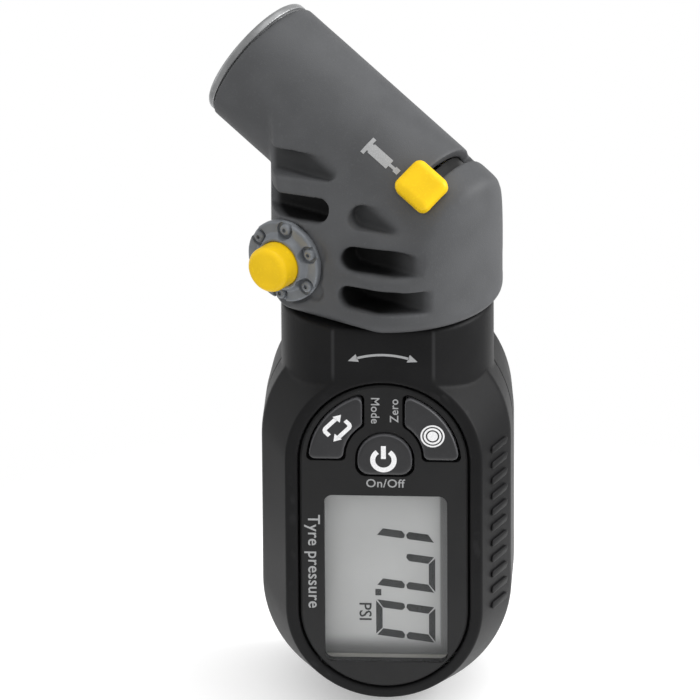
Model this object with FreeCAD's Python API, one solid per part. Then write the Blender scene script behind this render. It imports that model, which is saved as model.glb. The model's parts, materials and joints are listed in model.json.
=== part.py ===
import FreeCAD
import Part
import math
import os

from FreeCAD import Vector

# Digital tyre pressure gauge: a black display housing under a grey elbow head.
# Millimetres. +Z runs up the housing along the swivel axis, the display faces -Y.
# Everything is built about the swivel axis, with z = 0 on the collar's top face,
# and moved to the mouth of the valve socket when it is exported.

UP = Vector(0, 0, 1)
ACROSS = Vector(1, 0, 0)
BACK = Vector(0, 1, 0)

# Running and assembly clearances
RUNNING_GAP = 0.06
FACE_GAP = 0.05
SEAT_GAP = 0.1
LOOSE_GAP = 0.3

# Lengths closer than this count as equal when edges are picked
NEAR = 0.001

# Housing outline: two end circles joined by straight sides, seen from the front
BODY_HALF_WIDTH = 17.9
BODY_TOP_CENTRE_Z = -20.2
BODY_BOTTOM_CENTRE_Z = -42.8
RIM_HALF_WIDTH = 14.0
RIM_TOP_CENTRE_Z = -20.5
RIM_BOTTOM_CENTRE_Z = -43.65
SHOULDER_INSET = 0.5
SHOULDER_RISE = 1.0
BACK_HALF_WIDTH = 15.4
FRONT_Y = -13.4
SIDE_FRONT_Y = -5.0
SIDE_REAR_Y = 5.0
SHOULDER_Y = 10.0
BACK_Y = 13.6
SPLIT_Y = 1.0
WALL = 1.7
SIDE_ROUND = 2.2
BACK_ROUND = 1.4

# Collar that carries the head
COLLAR_R = 15.2
COLLAR_DEPTH = 22.0
COLLAR_TOP_WALL = 2.0
COLLAR_EDGE = 0.35

# Display panel in the front face
PANEL_HALF_WIDTH = 11.95
PANEL_THICKNESS = 1.5
PANEL_GROOVE = 0.33
PANEL_TOP_CENTRE_Z = -20.6
PANEL_BOTTOM_CENTRE_Z = -43.95
PANEL_FLOOR = 1.5
PANEL_EDGE = 0.25

# Display window and what lies behind it
WINDOW_CENTRE_X = 0.25
WINDOW_CENTRE_Z = -38.9
WINDOW_LAP_X = 0.4
WINDOW_LAP_Z = 0.1
WINDOW_CORNER = 1.2
LENS_FLANGE = 0.9
LENS_FLANGE_THICKNESS = 1.0
LENS_RECESS = 0.1
LCD_WIDTH = 18.4
LCD_HEIGHT = 26.4
LCD_THICKNESS = 1.6
LCD_FRAME_BORDER = 0.7
LCD_SEAT_WIDTH = 1.0
ZEBRA_WIDTH = 1.6

# Keys
KEY_GAP = 0.35
KEY_PROUD = 0.45
KEY_EDGE = 0.4
KEY_TRAVEL = 0.5
KEY_FLANGE = 0.55
KEY_FLANGE_THICKNESS = 0.8
KEY_NUB_R = 1.2
POWER_KEY_X = 0.17
POWER_KEY_Z = -20.05
POWER_KEY_R = 4.25
POWER_KEY_DROP = 2.75
POWER_KEY_CORNER = 1.7
SIDE_KEY_OUTER_R = 11.1
SIDE_KEY_CENTRE_Z = -20.5
SIDE_KEY_INNER_R = 5.4
SIDE_KEY_INNER_CENTRE_Z = -19.7
SIDE_KEY_INNER_X = 2.7
SIDE_KEY_BOTTOM_Z = -20.4
SIDE_KEY_CORNER = 0.8
SIDE_KEY_NUB_X = 6.6
SIDE_KEY_NUB_Z = -15.7
SWITCH_SIZE = 3.0
SWITCH_HEIGHT = 1.0

# Circuit board and electronics
BOARD_FRONT_Y = -5.6
BOARD_THICKNESS = 1.0
BOARD_HALF_WIDTH = 14.3
BOARD_TOP_Z = -13.0
SENSOR_WIDTH = 8.0
SENSOR_HEIGHT = 5.0
SENSOR_PORT_R = 1.4
SENSOR_PORT_BORE_R = 0.6
SENSOR_PORT_LENGTH = 1.5
CHIP_SIZE = 7.0
CHIP_THICKNESS = 1.1
CRYSTAL_R = 1.0
CRYSTAL_LENGTH = 5.0
CAPACITOR_COUNT = 3
CAPACITOR_SIZE = 1.6

# Coin cell, 20 mm across and 3.2 mm thick, behind a quarter-turn door
CELL_R = 10.0
CELL_THICKNESS = 3.2
CELL_Z = -38.0
CELL_CLEARANCE = 0.5
CELL_BACK_GAP = 0.45
CELL_STEP_R = 7.6
CELL_STEP = 0.35
WELL_FLOOR = 1.0
WELL_WALL = 1.5
DOOR_R = 12.0
DOOR_GAP = 0.2
DOOR_THICKNESS = 2.2
DOOR_SLOT_LENGTH = 12.0
DOOR_SLOT_WIDTH = 1.8
DOOR_SLOT_DEPTH = 1.1
DOOR_LUG_WIDTH = 4.0
DOOR_LUG_REACH = 0.9
DOOR_LUG_THICKNESS = 0.9
DOOR_SEAL_SECTION = 0.8
DOOR_TURN = 45.0
CONTACT_THICKNESS = 0.3
CONTACT_WIDTH = 3.0

# Housing screws, driven from the back
SCREW_SIDE_X = 12.4
SCREW_TOP_Z = -21.5
SCREW_BOTTOM_Z = -55.5
SCREW_R = 1.0
SCREW_HEAD_R = 1.7
SCREW_HEAD_HEIGHT = 1.5
SCREW_SEAT_Y = 9.0
SCREW_BITE = 6.0
BOSS_R = 2.2
BOSS_LEDGE = 0.8
BOSS_FRONT_Y = -8.0
BOSS_RIB = 2.0
GASKET_WIDTH = 0.7
GASKET_HEIGHT = 0.9
GASKET_INSET = 0.5

# Air manifold inside the collar
MANIFOLD_TOP_Z = -3.6
MANIFOLD_BOTTOM_Z = -12.4
MANIFOLD_HALF_DEPTH = 8.6
STEM_SOCKET_BOTTOM_Z = -10.2
AIR_BORE_R = 1.0

# Swivel stem between head and housing
HEAD_GAP = 0.4
STEM_R = 3.5
STEM_BOTTOM_Z = -9.8
STEM_TOP_Z = 7.0
CLIP_R = 5.0
CLIP_THICKNESS = 0.5
CLIP_GROOVE = 0.6
CLIP_OPENING = 3.0
WASHER_R = 9.0
WASHER_THICKNESS = 0.3
STEM_SEAL_SECTION_R = 0.4
STEM_SEAL_STANDOFF = 0.02
STEM_SEAL_GROOVE = 1.1
STEM_SEAL_Z = (-5.6, -8.0)
STEM_GROOVE_Z = -2.3

# Elbow head: turned about the swivel axis, chuck rising from it
HEAD_TURN = 147.6
CHUCK_RISE = 29.0
CHUCK_AXIS_Z = 18.7
BARREL_R = 9.9
BARREL_TIP_ROUND = 0.2
BARREL_LENGTH = 25.55
BARREL_BORE_R = 8.3
BARREL_BORE_BACK = 10.6
DRUM_R = 16.5
DRUM_HALF_FLAT = 14.4
DRUM_CORNER = 4.0
DRUM_BOTTOM_ROUND = 1.7
ROOF_FLARE = 27.8
CORE_HALF_WIDTH = 9.9
SLOT_HEIGHT = 3.3
SLOT_PITCH = 5.6
SLOT_FIRST_Z = 5.2
SLOT_FRONT_END_X = 1.4
SLOT_REAR_END_X = -1.5
SLOT_LOW_EXTRA = 1.0
HEAD_CAVITY_R = 12.0
HEAD_CAVITY_HALF_WIDTH = 7.7
HEAD_CAVITY_TOP_Z = 14.0
BASE_R = 11.6
BASE_THICKNESS = 2.2
BASE_SCREW_RADIUS = 9.4
BASE_SCREW_R = 0.8
BASE_SCREW_HEAD_R = 1.5
BASE_SCREW_HEAD_HEIGHT = 1.0
BASE_SCREW_LENGTH = 5.5
BASE_SCREW_ANGLES = (75.0, 180.0, 285.0)
BASE_POST_R = 2.0

# Chuck end ring, valve seal and its clamp
RING_R = 9.65
RING_THICKNESS = 0.85
RING_RIM = 0.65
RING_ROUND = 0.7
RING_GROOVE = 0.25
RING_GROOVE_DEPTH = 0.5
RING_HOLE_R = 5.0
RING_SKIRT_WALL = 0.9
RING_SKIRT_LENGTH = 11.6
VALVE_BORE_R = 3.95
SEAL_LENGTH = 11.0
SEAL_SETBACK = 0.2
SEAL_ROUND = 0.5
CLAMP_LENGTH = 6.0
CLAMP_TRAVEL = 1.0
CLAMP_ARM_WIDTH = 1.2
CLAMP_ARM_THICKNESS = 1.4
CLAMP_ARM_ANGLE = 130.0

# Air core inside the head
CORE_TUBE_R = 4.2
CORE_TUBE_TIP = 12.0
CORE_TUBE_BACK = 10.0
CORE_BOSS_R = 5.2
CORE_FLANGE_R = 6.0
CORE_FLANGE_THICKNESS = 1.2
PIN_R = 0.8
PIN_COLLAR_R = 1.35
PIN_COLLAR_LENGTH = 1.0
PIN_TAIL_LENGTH = 5.0
PIN_CHAMBER_R = 1.6
PIN_CHAMBER_START = -1.0
PIN_TIP = 13.9
PIN_GUIDE_LENGTH = 1.4
PIN_SPRING_COIL_R = 1.2
PIN_SPRING_WIRE_R = 0.15
PIN_SPRING_TURNS = 12

# Selector: a slider in a slot across the barrel, on a cam inside it
SELECTOR_S = -8.2
SELECTOR_ANGLE = 48.1
SELECTOR_SWEEP = 83.8
SELECTOR_LENGTH = 6.2
SELECTOR_WIDTH = 5.8
SELECTOR_TOP_R = 12.4
SELECTOR_ROUND = 1.2
SELECTOR_STEM_LENGTH = 1.65
SELECTOR_STEM_WIDTH = 2.6
SELECTOR_SLOT_S = -7.85
SELECTOR_SLOT_WIDTH = 2.25
CAM_BACK_S = -10.3
CAM_FRONT_S = -6.4
CAM_START_ANGLE = 40.0
CAM_SPAN = 100.0
CAM_STEPS = 9
CAM_WALL = 2.0

# Release valve on the flat side of the head
RELEASE_X = 7.6
RELEASE_Z = 8.35
RELEASE_BOSS_R = 5.9
RELEASE_BORE_R = 4.3
DISC_R = 6.05
DISC_THICKNESS = 1.2
DISC_FACE_Y = 15.1
DISC_RECESS_GAP = 0.45
DISC_SCREWS = 6
DISC_SCREW_RADIUS = 5.0
DISC_SCREW_HEAD_R = 0.85
DISC_SCREW_HEAD_HEIGHT = 0.75
DISC_SCREW_ROUND = 0.4
DISC_SCREW_SOCKET_R = 0.3
DISC_SCREW_SOCKET_DEPTH = 0.35
DISC_SCREW_R = 0.4
DISC_SCREW_LENGTH = 3.0
DISC_SCREW_POCKET_R = 1.3
DISC_SCREW_POCKET_DEPTH = 0.6
DISC_SCREW_START = 35.0
DISC_SCALLOP_R = 1.6
DISC_EDGE = 0.3
DISC_HUB_R = 4.4
DISC_HUB_TOP_R = 3.8
DISC_HUB_HEIGHT = 1.0
BUTTON_R = 3.33
BUTTON_PROUD = 4.2
BUTTON_ROUND = 0.9
BUTTON_FLANGE = 0.5
BUTTON_FLANGE_THICKNESS = 0.9
RELEASE_STEM_R = 0.9
RELEASE_POPPET_THICKNESS = 1.0
RELEASE_POPPET_R = 1.5
RELEASE_CHAMBER_R = 1.9
RELEASE_CHAMBER_START_Y = -0.6
RELEASE_CHAMBER_END_Y = 3.0
RELEASE_VENT_R = 1.3
RELEASE_CORE_R = 4.1
RELEASE_CORE_START_Y = -2.0
RELEASE_CORE_END_Y = 9.4
RELEASE_SEAL_THICKNESS = 0.6
RELEASE_SPRING_R = 3.0
RELEASE_SPRING_WIRE_R = 0.2
RELEASE_SPRING_TURNS = 3.5

# Places that several pieces share
WINDOW_WIDTH = LCD_WIDTH - 2 * WINDOW_LAP_X
WINDOW_HEIGHT = LCD_HEIGHT - 2 * WINDOW_LAP_Z
PANEL_BACK_Y = FRONT_Y + PANEL_THICKNESS
FLOOR_BACK_Y = PANEL_BACK_Y + PANEL_FLOOR
BOARD_BACK_Y = BOARD_FRONT_Y + BOARD_THICKNESS
COLLAR_INNER_R = COLLAR_R - WALL
BACK_INNER_Y = BACK_Y - WALL
DOOR_INNER_Y = BACK_Y - DOOR_THICKNESS
CELL_BACK_Y = DOOR_INNER_Y - CELL_BACK_GAP
CELL_FRONT_Y = CELL_BACK_Y - CELL_THICKNESS
WELL_R = CELL_R + CELL_CLEARANCE
WELL_FLOOR_Y = CELL_FRONT_Y - 2 * CONTACT_THICKNESS - SEAT_GAP
SWITCH_FACE_Y = BOARD_FRONT_Y - SWITCH_HEIGHT
STEM_SOCKET_R = STEM_R + RUNNING_GAP
HEAD_BOTTOM_Z = HEAD_GAP
BASE_TOP_Z = HEAD_BOTTOM_Z + BASE_THICKNESS
RING_FACE_S = BARREL_LENGTH + RING_THICKNESS
SHELL_END_S = BARREL_LENGTH - RING_RIM
SEAL_MOUTH_S = RING_FACE_S - RING_THICKNESS - SEAL_SETBACK
SEAL_BACK_S = SEAL_MOUTH_S - SEAL_LENGTH
SKIRT_R = BARREL_BORE_R - SEAT_GAP
SEAL_R = SKIRT_R - RING_SKIRT_WALL - FACE_GAP
CLAMP_FRONT_S = SEAL_BACK_S - LOOSE_GAP
CLAMP_BACK_S = CLAMP_FRONT_S - CLAMP_LENGTH
CLAMP_R = SKIRT_R - RING_SKIRT_WALL - LOOSE_GAP
PIN_GUIDE_BACK_S = CORE_TUBE_TIP - PIN_GUIDE_LENGTH
PIN_COLLAR_S = PIN_GUIDE_BACK_S - PIN_COLLAR_LENGTH - SEAT_GAP
CAM_R = BARREL_BORE_R - RUNNING_GAP
DISC_BACK_Y = DISC_FACE_Y - DISC_THICKNESS
BUTTON_FACE_Y = DISC_FACE_Y + BUTTON_PROUD
BUTTON_BACK_Y = DISC_BACK_Y - FACE_GAP - BUTTON_FLANGE_THICKNESS
DISC_SCREW_SEAT_Y = DISC_FACE_Y - DISC_SCREW_POCKET_DEPTH
DISC_SCREW_END_Y = DISC_SCREW_SEAT_Y - DISC_SCREW_LENGTH
RELEASE_SEAL_END_Y = RELEASE_CHAMBER_END_Y - LOOSE_GAP
RELEASE_POPPET_END_Y = RELEASE_SEAL_END_Y - RELEASE_SEAL_THICKNESS


def box(x0, x1, y0, y1, z0, z1):
    return Part.makeBox(x1 - x0, y1 - y0, z1 - z0, Vector(x0, y0, z0))


def rod(radius, start, end):
    along = end - start
    return Part.makeCylinder(radius, along.Length, start, along)


def y_rod(radius, x, z, y0, y1):
    return rod(radius, Vector(x, y0, z), Vector(x, y1, z))


def y_pipe(outer, inner, x, z, y0, y1):
    return y_rod(outer, x, z, y0, y1).cut(y_rod(inner, x, z, y0, y1))


def z_rod(radius, z0, z1):
    return rod(radius, Vector(0, 0, z0), Vector(0, 0, z1))


def z_pipe(outer, inner, z0, z1):
    return z_rod(outer, z0, z1).cut(z_rod(inner, z0, z1))


def x_rod(radius, x0, x1):
    return rod(radius, Vector(x0, 0, 0), Vector(x1, 0, 0))


def x_pipe(outer, inner, x0, x1):
    return x_rod(outer, x0, x1).cut(x_rod(inner, x0, x1))


def fused(shapes):
    return shapes[0].fuse(list(shapes[1:])).removeSplitter()


def stadium_wire(half_width, top_z, bottom_z, y):
    """Outline with a half circle at each end, in a plane square to Y."""
    left_top = Vector(-half_width, y, top_z)
    right_top = Vector(half_width, y, top_z)
    left_bottom = Vector(-half_width, y, bottom_z)
    right_bottom = Vector(half_width, y, bottom_z)
    crown = Vector(0, y, top_z + half_width)
    foot = Vector(0, y, bottom_z - half_width)
    edges = [
        Part.Arc(left_top, crown, right_top).toShape(),
        Part.LineSegment(right_top, right_bottom).toShape(),
        Part.Arc(right_bottom, foot, left_bottom).toShape(),
        Part.LineSegment(left_bottom, left_top).toShape(),
    ]
    return Part.Wire(edges)


def stadium_prism(half_width, top_z, bottom_z, y0, y1):
    face = Part.Face(stadium_wire(half_width, top_z, bottom_z, y0))
    return face.extrude(Vector(0, y1 - y0, 0))


def edges_at_y(shape, y):
    """Edges that lie wholly in the plane at this y."""
    found = []
    for edge in shape.Edges:
        bounds = edge.BoundBox
        if abs(bounds.YMin - y) < NEAR and abs(bounds.YMax - y) < NEAR:
            found.append(edge)
    return found


def rounded_plate(width, height, corner, x, z, y0, y1):
    """A plate facing Y, with rounded corners."""
    plate = box(x - width / 2, x + width / 2, y0, y1, z - height / 2, z + height / 2)
    uprights = []
    for edge in plate.Edges:
        bounds = edge.BoundBox
        if bounds.YLength > bounds.XLength + bounds.ZLength:
            uprights.append(edge)
    return plate.makeFillet(corner, uprights)


# Housing shells


def case_body(inset):
    """The housing without its collar, every face moved in by the inset."""
    front_y = FRONT_Y + inset
    back_y = BACK_Y - inset
    rim = stadium_wire(RIM_HALF_WIDTH - inset, RIM_TOP_CENTRE_Z, RIM_BOTTOM_CENTRE_Z, front_y)
    side_front = stadium_wire(
        BODY_HALF_WIDTH - inset, BODY_TOP_CENTRE_Z, BODY_BOTTOM_CENTRE_Z, SIDE_FRONT_Y
    )
    side_rear = stadium_wire(
        BODY_HALF_WIDTH - inset, BODY_TOP_CENTRE_Z, BODY_BOTTOM_CENTRE_Z, SIDE_REAR_Y
    )
    shoulder = stadium_wire(
        BODY_HALF_WIDTH - SHOULDER_INSET - inset,
        BODY_TOP_CENTRE_Z + SHOULDER_RISE,
        BODY_BOTTOM_CENTRE_Z,
        SHOULDER_Y,
    )
    back = stadium_wire(
        BACK_HALF_WIDTH - inset, BODY_TOP_CENTRE_Z, BODY_BOTTOM_CENTRE_Z, back_y
    )
    front_bevel = Part.makeLoft([rim, side_front], True, True)
    middle = Part.makeLoft([side_front, side_rear], True, True)
    rear_side = Part.makeLoft([side_rear, shoulder], True, True)
    rear_bevel = Part.makeLoft([shoulder, back], True, True)
    return fused([front_bevel, middle, rear_side, rear_bevel])


def case_collar(inset, top_z):
    drum = z_rod(COLLAR_R - inset, -COLLAR_DEPTH, top_z)
    reach = COLLAR_R + 1
    slab = box(-reach, reach, FRONT_Y + inset, BACK_Y - inset, -COLLAR_DEPTH, top_z)
    return drum.common(slab)


def case_outside():
    body = case_body(0)
    body = body.makeFillet(BACK_ROUND, edges_at_y(body, BACK_Y))
    softened = edges_at_y(body, SIDE_FRONT_Y) + edges_at_y(body, SHOULDER_Y)
    body = body.makeFillet(SIDE_ROUND, softened)
    collar = case_collar(0, 0)
    rim_edges = [e for e in collar.Edges if e.BoundBox.ZMin > -NEAR]
    collar = collar.makeChamfer(COLLAR_EDGE, rim_edges)
    return body.fuse(collar)


def case_inside():
    body = case_body(WALL)
    collar = case_collar(WALL, -COLLAR_TOP_WALL)
    reach = BODY_HALF_WIDTH + 1
    below_floor = box(
        -reach, reach, FLOOR_BACK_Y, BACK_INNER_Y, -4 * BODY_HALF_WIDTH, -COLLAR_TOP_WALL
    )
    return body.fuse(collar).common(below_floor)


def screw_places():
    return (
        (SCREW_SIDE_X, SCREW_TOP_Z),
        (-SCREW_SIDE_X, SCREW_TOP_Z),
        (0.0, SCREW_BOTTOM_Z),
    )


def screw_boss(x, z, slack, y0, y1):
    """Post for a screw with a rib out to the wall, grown by the slack."""
    post = y_rod(BOSS_R + slack, x, z, y0, y1)
    half = BOSS_RIB / 2 + slack
    if x == 0:
        rib = box(-half, half, y0, y1, z - BODY_HALF_WIDTH, z)
    else:
        far_x = math.copysign(BODY_HALF_WIDTH, x)
        rib = box(min(x, far_x), max(x, far_x), y0, y1, z - half, z + half)
    return post.fuse(rib)


def gasket_ring(y0, y1, slack):
    outer = BODY_HALF_WIDTH - GASKET_INSET + slack
    inner = outer - GASKET_WIDTH - 2 * slack
    ring = stadium_prism(outer, BODY_TOP_CENTRE_Z, BODY_BOTTOM_CENTRE_Z, y0, y1)
    ring = ring.cut(stadium_prism(inner, BODY_TOP_CENTRE_Z, BODY_BOTTOM_CENTRE_Z, y0, y1))
    return ring.cut(z_rod(COLLAR_R - slack, -COLLAR_DEPTH, 0))


def panel_pocket():
    return stadium_prism(
        PANEL_HALF_WIDTH + PANEL_GROOVE,
        PANEL_TOP_CENTRE_Z,
        PANEL_BOTTOM_CENTRE_Z,
        FRONT_Y - 1,
        PANEL_BACK_Y,
    )


def front_housing(outside, inside):
    reach = BODY_HALF_WIDTH + 1
    half = box(-reach, reach, FRONT_Y - 1, SPLIT_Y, -4 * BODY_HALF_WIDTH, 1)
    shell = outside.cut(inside).common(half)
    shell = shell.cut(panel_pocket())
    for x, z in screw_places():
        boss = screw_boss(x, z, 0, BOSS_FRONT_Y, SPLIT_Y)
        if abs(x) > 0:
            boss = boss.fuse(y_rod(BOSS_R + BOSS_LEDGE, x, z, BOSS_FRONT_Y, BOARD_FRONT_Y))
        shell = shell.fuse(boss.common(inside))
        pilot = y_rod(SCREW_R, x, z, SPLIT_Y - SCREW_BITE, SPLIT_Y)
        shell = shell.cut(pilot)
    openings = [
        power_key_prism(SEAT_GAP, PANEL_BACK_Y - 1, FLOOR_BACK_Y + 1),
        side_key_prism(1, SEAT_GAP, PANEL_BACK_Y - 1, FLOOR_BACK_Y + 1),
        side_key_prism(-1, SEAT_GAP, PANEL_BACK_Y - 1, FLOOR_BACK_Y + 1),
        rounded_plate(
            WINDOW_WIDTH + 2 * (LENS_FLANGE + SEAT_GAP),
            WINDOW_HEIGHT + 2 * (LENS_FLANGE + SEAT_GAP),
            WINDOW_CORNER,
            WINDOW_CENTRE_X,
            WINDOW_CENTRE_Z,
            PANEL_BACK_Y - 1,
            FLOOR_BACK_Y + 1,
        ),
    ]
    shell = shell.cut(openings)
    groove = gasket_ring(SPLIT_Y - GASKET_HEIGHT / 2, SPLIT_Y + 1, SEAT_GAP / 2)
    shell = shell.cut(groove)
    return shell.cut(z_rod(STEM_SOCKET_R, -COLLAR_TOP_WALL - 1, 1))


def rear_housing(outside, inside):
    reach = BODY_HALF_WIDTH + 1
    half = box(-reach, reach, SPLIT_Y, BACK_Y + 1, -4 * BODY_HALF_WIDTH, 1)
    shell = outside.cut(inside).common(half)
    well = y_rod(WELL_R + WELL_WALL, 0, CELL_Z, WELL_FLOOR_Y - WELL_FLOOR, BACK_INNER_Y)
    seat_y = DOOR_INNER_Y - DOOR_SEAL_SECTION
    seat_r = DOOR_R + DOOR_LUG_REACH + DOOR_GAP + WELL_FLOOR
    seat = y_rod(seat_r, 0, CELL_Z, seat_y - WELL_FLOOR, BACK_INNER_Y)
    shell = shell.fuse([well, seat])
    for x, z in screw_places():
        boss = screw_boss(x, z, 0, SPLIT_Y, BACK_INNER_Y)
        shell = shell.fuse(boss.common(inside))
        shell = shell.cut(y_rod(SCREW_R + SEAT_GAP, x, z, SPLIT_Y - 1, BACK_Y + 1))
        shell = shell.cut(y_rod(SCREW_HEAD_R + SEAT_GAP, x, z, SCREW_SEAT_Y, BACK_Y + 1))
    shell = shell.cut(y_rod(WELL_R, 0, CELL_Z, WELL_FLOOR_Y, BACK_Y + 1))
    shell = shell.cut(y_rod(DOOR_R + DOOR_GAP, 0, CELL_Z, seat_y, BACK_Y + 1))
    lug_path = y_rod(
        DOOR_R + DOOR_LUG_REACH + DOOR_GAP,
        0,
        CELL_Z,
        DOOR_INNER_Y - DOOR_GAP,
        DOOR_INNER_Y + DOOR_LUG_THICKNESS + DOOR_GAP,
    )
    half = DOOR_LUG_WIDTH / 2 + DOOR_GAP
    reach = DOOR_R + DOOR_LUG_REACH + DOOR_GAP
    way_in = box(-reach, reach, DOOR_INNER_Y, BACK_Y + 1, -half, half)
    way_in.rotate(Vector(0, 0, 0), BACK, DOOR_TURN)
    way_in.translate(Vector(0, 0, CELL_Z))
    shell = shell.cut([lug_path, way_in])
    for slot in contact_slots():
        shell = shell.cut(slot)
    groove = gasket_ring(SPLIT_Y - 1, SPLIT_Y + GASKET_HEIGHT / 2, SEAT_GAP / 2)
    shell = shell.cut(groove)
    return shell.cut(z_rod(STEM_SOCKET_R, -COLLAR_TOP_WALL - 1, 1))


def housing_gasket():
    return gasket_ring(SPLIT_Y - GASKET_HEIGHT / 2, SPLIT_Y + GASKET_HEIGHT / 2, 0)


def housing_screws():
    screws = []
    for x, z in screw_places():
        head_back_y = SCREW_SEAT_Y + SCREW_HEAD_HEIGHT
        head = y_rod(SCREW_HEAD_R, x, z, SCREW_SEAT_Y, head_back_y)
        shank = y_rod(SCREW_R - FACE_GAP, x, z, SPLIT_Y - SCREW_BITE + LOOSE_GAP, SCREW_SEAT_Y)
        screw = head.fuse(shank)
        depth = SCREW_HEAD_HEIGHT / 2
        for turn in (0, 90):
            slot = box(
                -SCREW_R, SCREW_R, head_back_y - depth, head_back_y + 1, -SCREW_R / 4, SCREW_R / 4
            )
            slot.rotate(Vector(0, 0, 0), BACK, turn)
            slot.translate(Vector(x, 0, z))
            screw = screw.cut(slot)
        screws.append(screw)
    return Part.makeCompound(screws)


# Keys


def power_key_prism(slack, y0, y1):
    """The power key's outline, grown by the slack: round above, flat below."""
    radius = POWER_KEY_R - KEY_GAP + slack
    bottom_z = POWER_KEY_Z - POWER_KEY_DROP + KEY_GAP - slack
    dome = y_rod(radius, POWER_KEY_X, POWER_KEY_Z, y0, y1)
    block = box(
        POWER_KEY_X - radius, POWER_KEY_X + radius, y0, y1, bottom_z, POWER_KEY_Z
    )
    corners = []
    for edge in block.Edges:
        bounds = edge.BoundBox
        if bounds.YLength > NEAR and bounds.ZMax < bottom_z + NEAR:
            corners.append(edge)
    block = block.makeFillet(POWER_KEY_CORNER, corners)
    upper = box(
        POWER_KEY_X - radius, POWER_KEY_X + radius, y0, y1, POWER_KEY_Z, POWER_KEY_Z + radius
    )
    return block.fuse(dome.common(upper)).removeSplitter()


def side_key_prism(side, slack, y0, y1):
    """A side key's outline, grown by the slack; side is 1 for right and -1 for left."""
    change = slack - KEY_GAP
    outer = y_rod(SIDE_KEY_OUTER_R + change, 0, SIDE_KEY_CENTRE_Z, y0, y1)
    inner = y_rod(SIDE_KEY_INNER_R - change, 0, SIDE_KEY_INNER_CENTRE_Z, y0, y1)
    inner_x = SIDE_KEY_INNER_X - change
    bottom_z = SIDE_KEY_BOTTOM_Z - change
    reach = 2 * SIDE_KEY_OUTER_R
    quarter = box(inner_x, reach, y0, y1, bottom_z, bottom_z + reach)
    key = outer.cut(inner).common(quarter)
    uprights = []
    for edge in key.Edges:
        bounds = edge.BoundBox
        if bounds.YLength > 0.5 * abs(y1 - y0) and bounds.XLength + bounds.ZLength < NEAR:
            uprights.append(edge)
    key = key.makeFillet(SIDE_KEY_CORNER, uprights)
    if side < 0:
        key = key.mirror(Vector(0, 0, 0), ACROSS)
    return key


def key_body(prism, nub_x, nub_z):
    """Cap through the panel, flange behind the floor and a nub over the switch."""
    cap_front_y = FRONT_Y - KEY_PROUD
    flange_front_y = FLOOR_BACK_Y + FACE_GAP
    cap = prism(0, cap_front_y, flange_front_y + KEY_FLANGE_THICKNESS)
    cap = cap.makeFillet(KEY_EDGE, edges_at_y(cap, cap_front_y))
    flange = prism(KEY_FLANGE, flange_front_y, flange_front_y + KEY_FLANGE_THICKNESS)
    nub_end_y = SWITCH_FACE_Y - KEY_TRAVEL - FACE_GAP
    nub = y_rod(KEY_NUB_R, nub_x, nub_z, flange_front_y, nub_end_y)
    return fused([cap, flange, nub])


def power_key():
    return key_body(power_key_prism, POWER_KEY_X, POWER_KEY_Z)


def right_prism(slack, y0, y1):
    return side_key_prism(1, slack, y0, y1)


def left_prism(slack, y0, y1):
    return side_key_prism(-1, slack, y0, y1)


def tune_key():
    return key_body(right_prism, SIDE_KEY_NUB_X, SIDE_KEY_NUB_Z)


def unit_key():
    return key_body(left_prism, -SIDE_KEY_NUB_X, SIDE_KEY_NUB_Z)


def key_switches():
    places = (
        (POWER_KEY_X, POWER_KEY_Z),
        (SIDE_KEY_NUB_X, SIDE_KEY_NUB_Z),
        (-SIDE_KEY_NUB_X, SIDE_KEY_NUB_Z),
    )
    half = SWITCH_SIZE / 2
    switches = []
    for x, z in places:
        body_face_y = BOARD_FRONT_Y - SWITCH_HEIGHT / 2
        body = box(x - half, x + half, body_face_y, BOARD_FRONT_Y, z - half, z + half)
        plunger = y_rod(half / 2, x, z, SWITCH_FACE_Y, body_face_y)
        switches.append(body.fuse(plunger))
    return Part.makeCompound(switches)


# Display


def display_panel():
    panel = stadium_prism(
        PANEL_HALF_WIDTH, PANEL_TOP_CENTRE_Z, PANEL_BOTTOM_CENTRE_Z, FRONT_Y, PANEL_BACK_Y
    )
    panel = panel.makeChamfer(PANEL_EDGE, edges_at_y(panel, FRONT_Y))
    window = rounded_plate(
        WINDOW_WIDTH,
        WINDOW_HEIGHT,
        WINDOW_CORNER,
        WINDOW_CENTRE_X,
        WINDOW_CENTRE_Z,
        FRONT_Y - 1,
        PANEL_BACK_Y + 1,
    )
    holes = [
        window,
        power_key_prism(KEY_GAP, FRONT_Y - 1, PANEL_BACK_Y + 1),
        side_key_prism(1, KEY_GAP, FRONT_Y - 1, PANEL_BACK_Y + 1),
        side_key_prism(-1, KEY_GAP, FRONT_Y - 1, PANEL_BACK_Y + 1),
    ]
    return panel.cut(holes)


def display_lens():
    face_y = FRONT_Y + LENS_RECESS
    window = rounded_plate(
        WINDOW_WIDTH - 2 * FACE_GAP,
        WINDOW_HEIGHT - 2 * FACE_GAP,
        WINDOW_CORNER,
        WINDOW_CENTRE_X,
        WINDOW_CENTRE_Z,
        face_y,
        PANEL_BACK_Y + LENS_FLANGE_THICKNESS,
    )
    flange = rounded_plate(
        WINDOW_WIDTH + 2 * LENS_FLANGE,
        WINDOW_HEIGHT + 2 * LENS_FLANGE,
        WINDOW_CORNER,
        WINDOW_CENTRE_X,
        WINDOW_CENTRE_Z,
        PANEL_BACK_Y,
        PANEL_BACK_Y + LENS_FLANGE_THICKNESS,
    )
    return fused([window, flange])


def lcd_front_y():
    return FLOOR_BACK_Y + FACE_GAP


def lcd_glass():
    front_y = lcd_front_y()
    return box(
        WINDOW_CENTRE_X - LCD_WIDTH / 2,
        WINDOW_CENTRE_X + LCD_WIDTH / 2,
        front_y,
        front_y + LCD_THICKNESS,
        WINDOW_CENTRE_Z - LCD_HEIGHT / 2,
        WINDOW_CENTRE_Z + LCD_HEIGHT / 2,
    )


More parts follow.
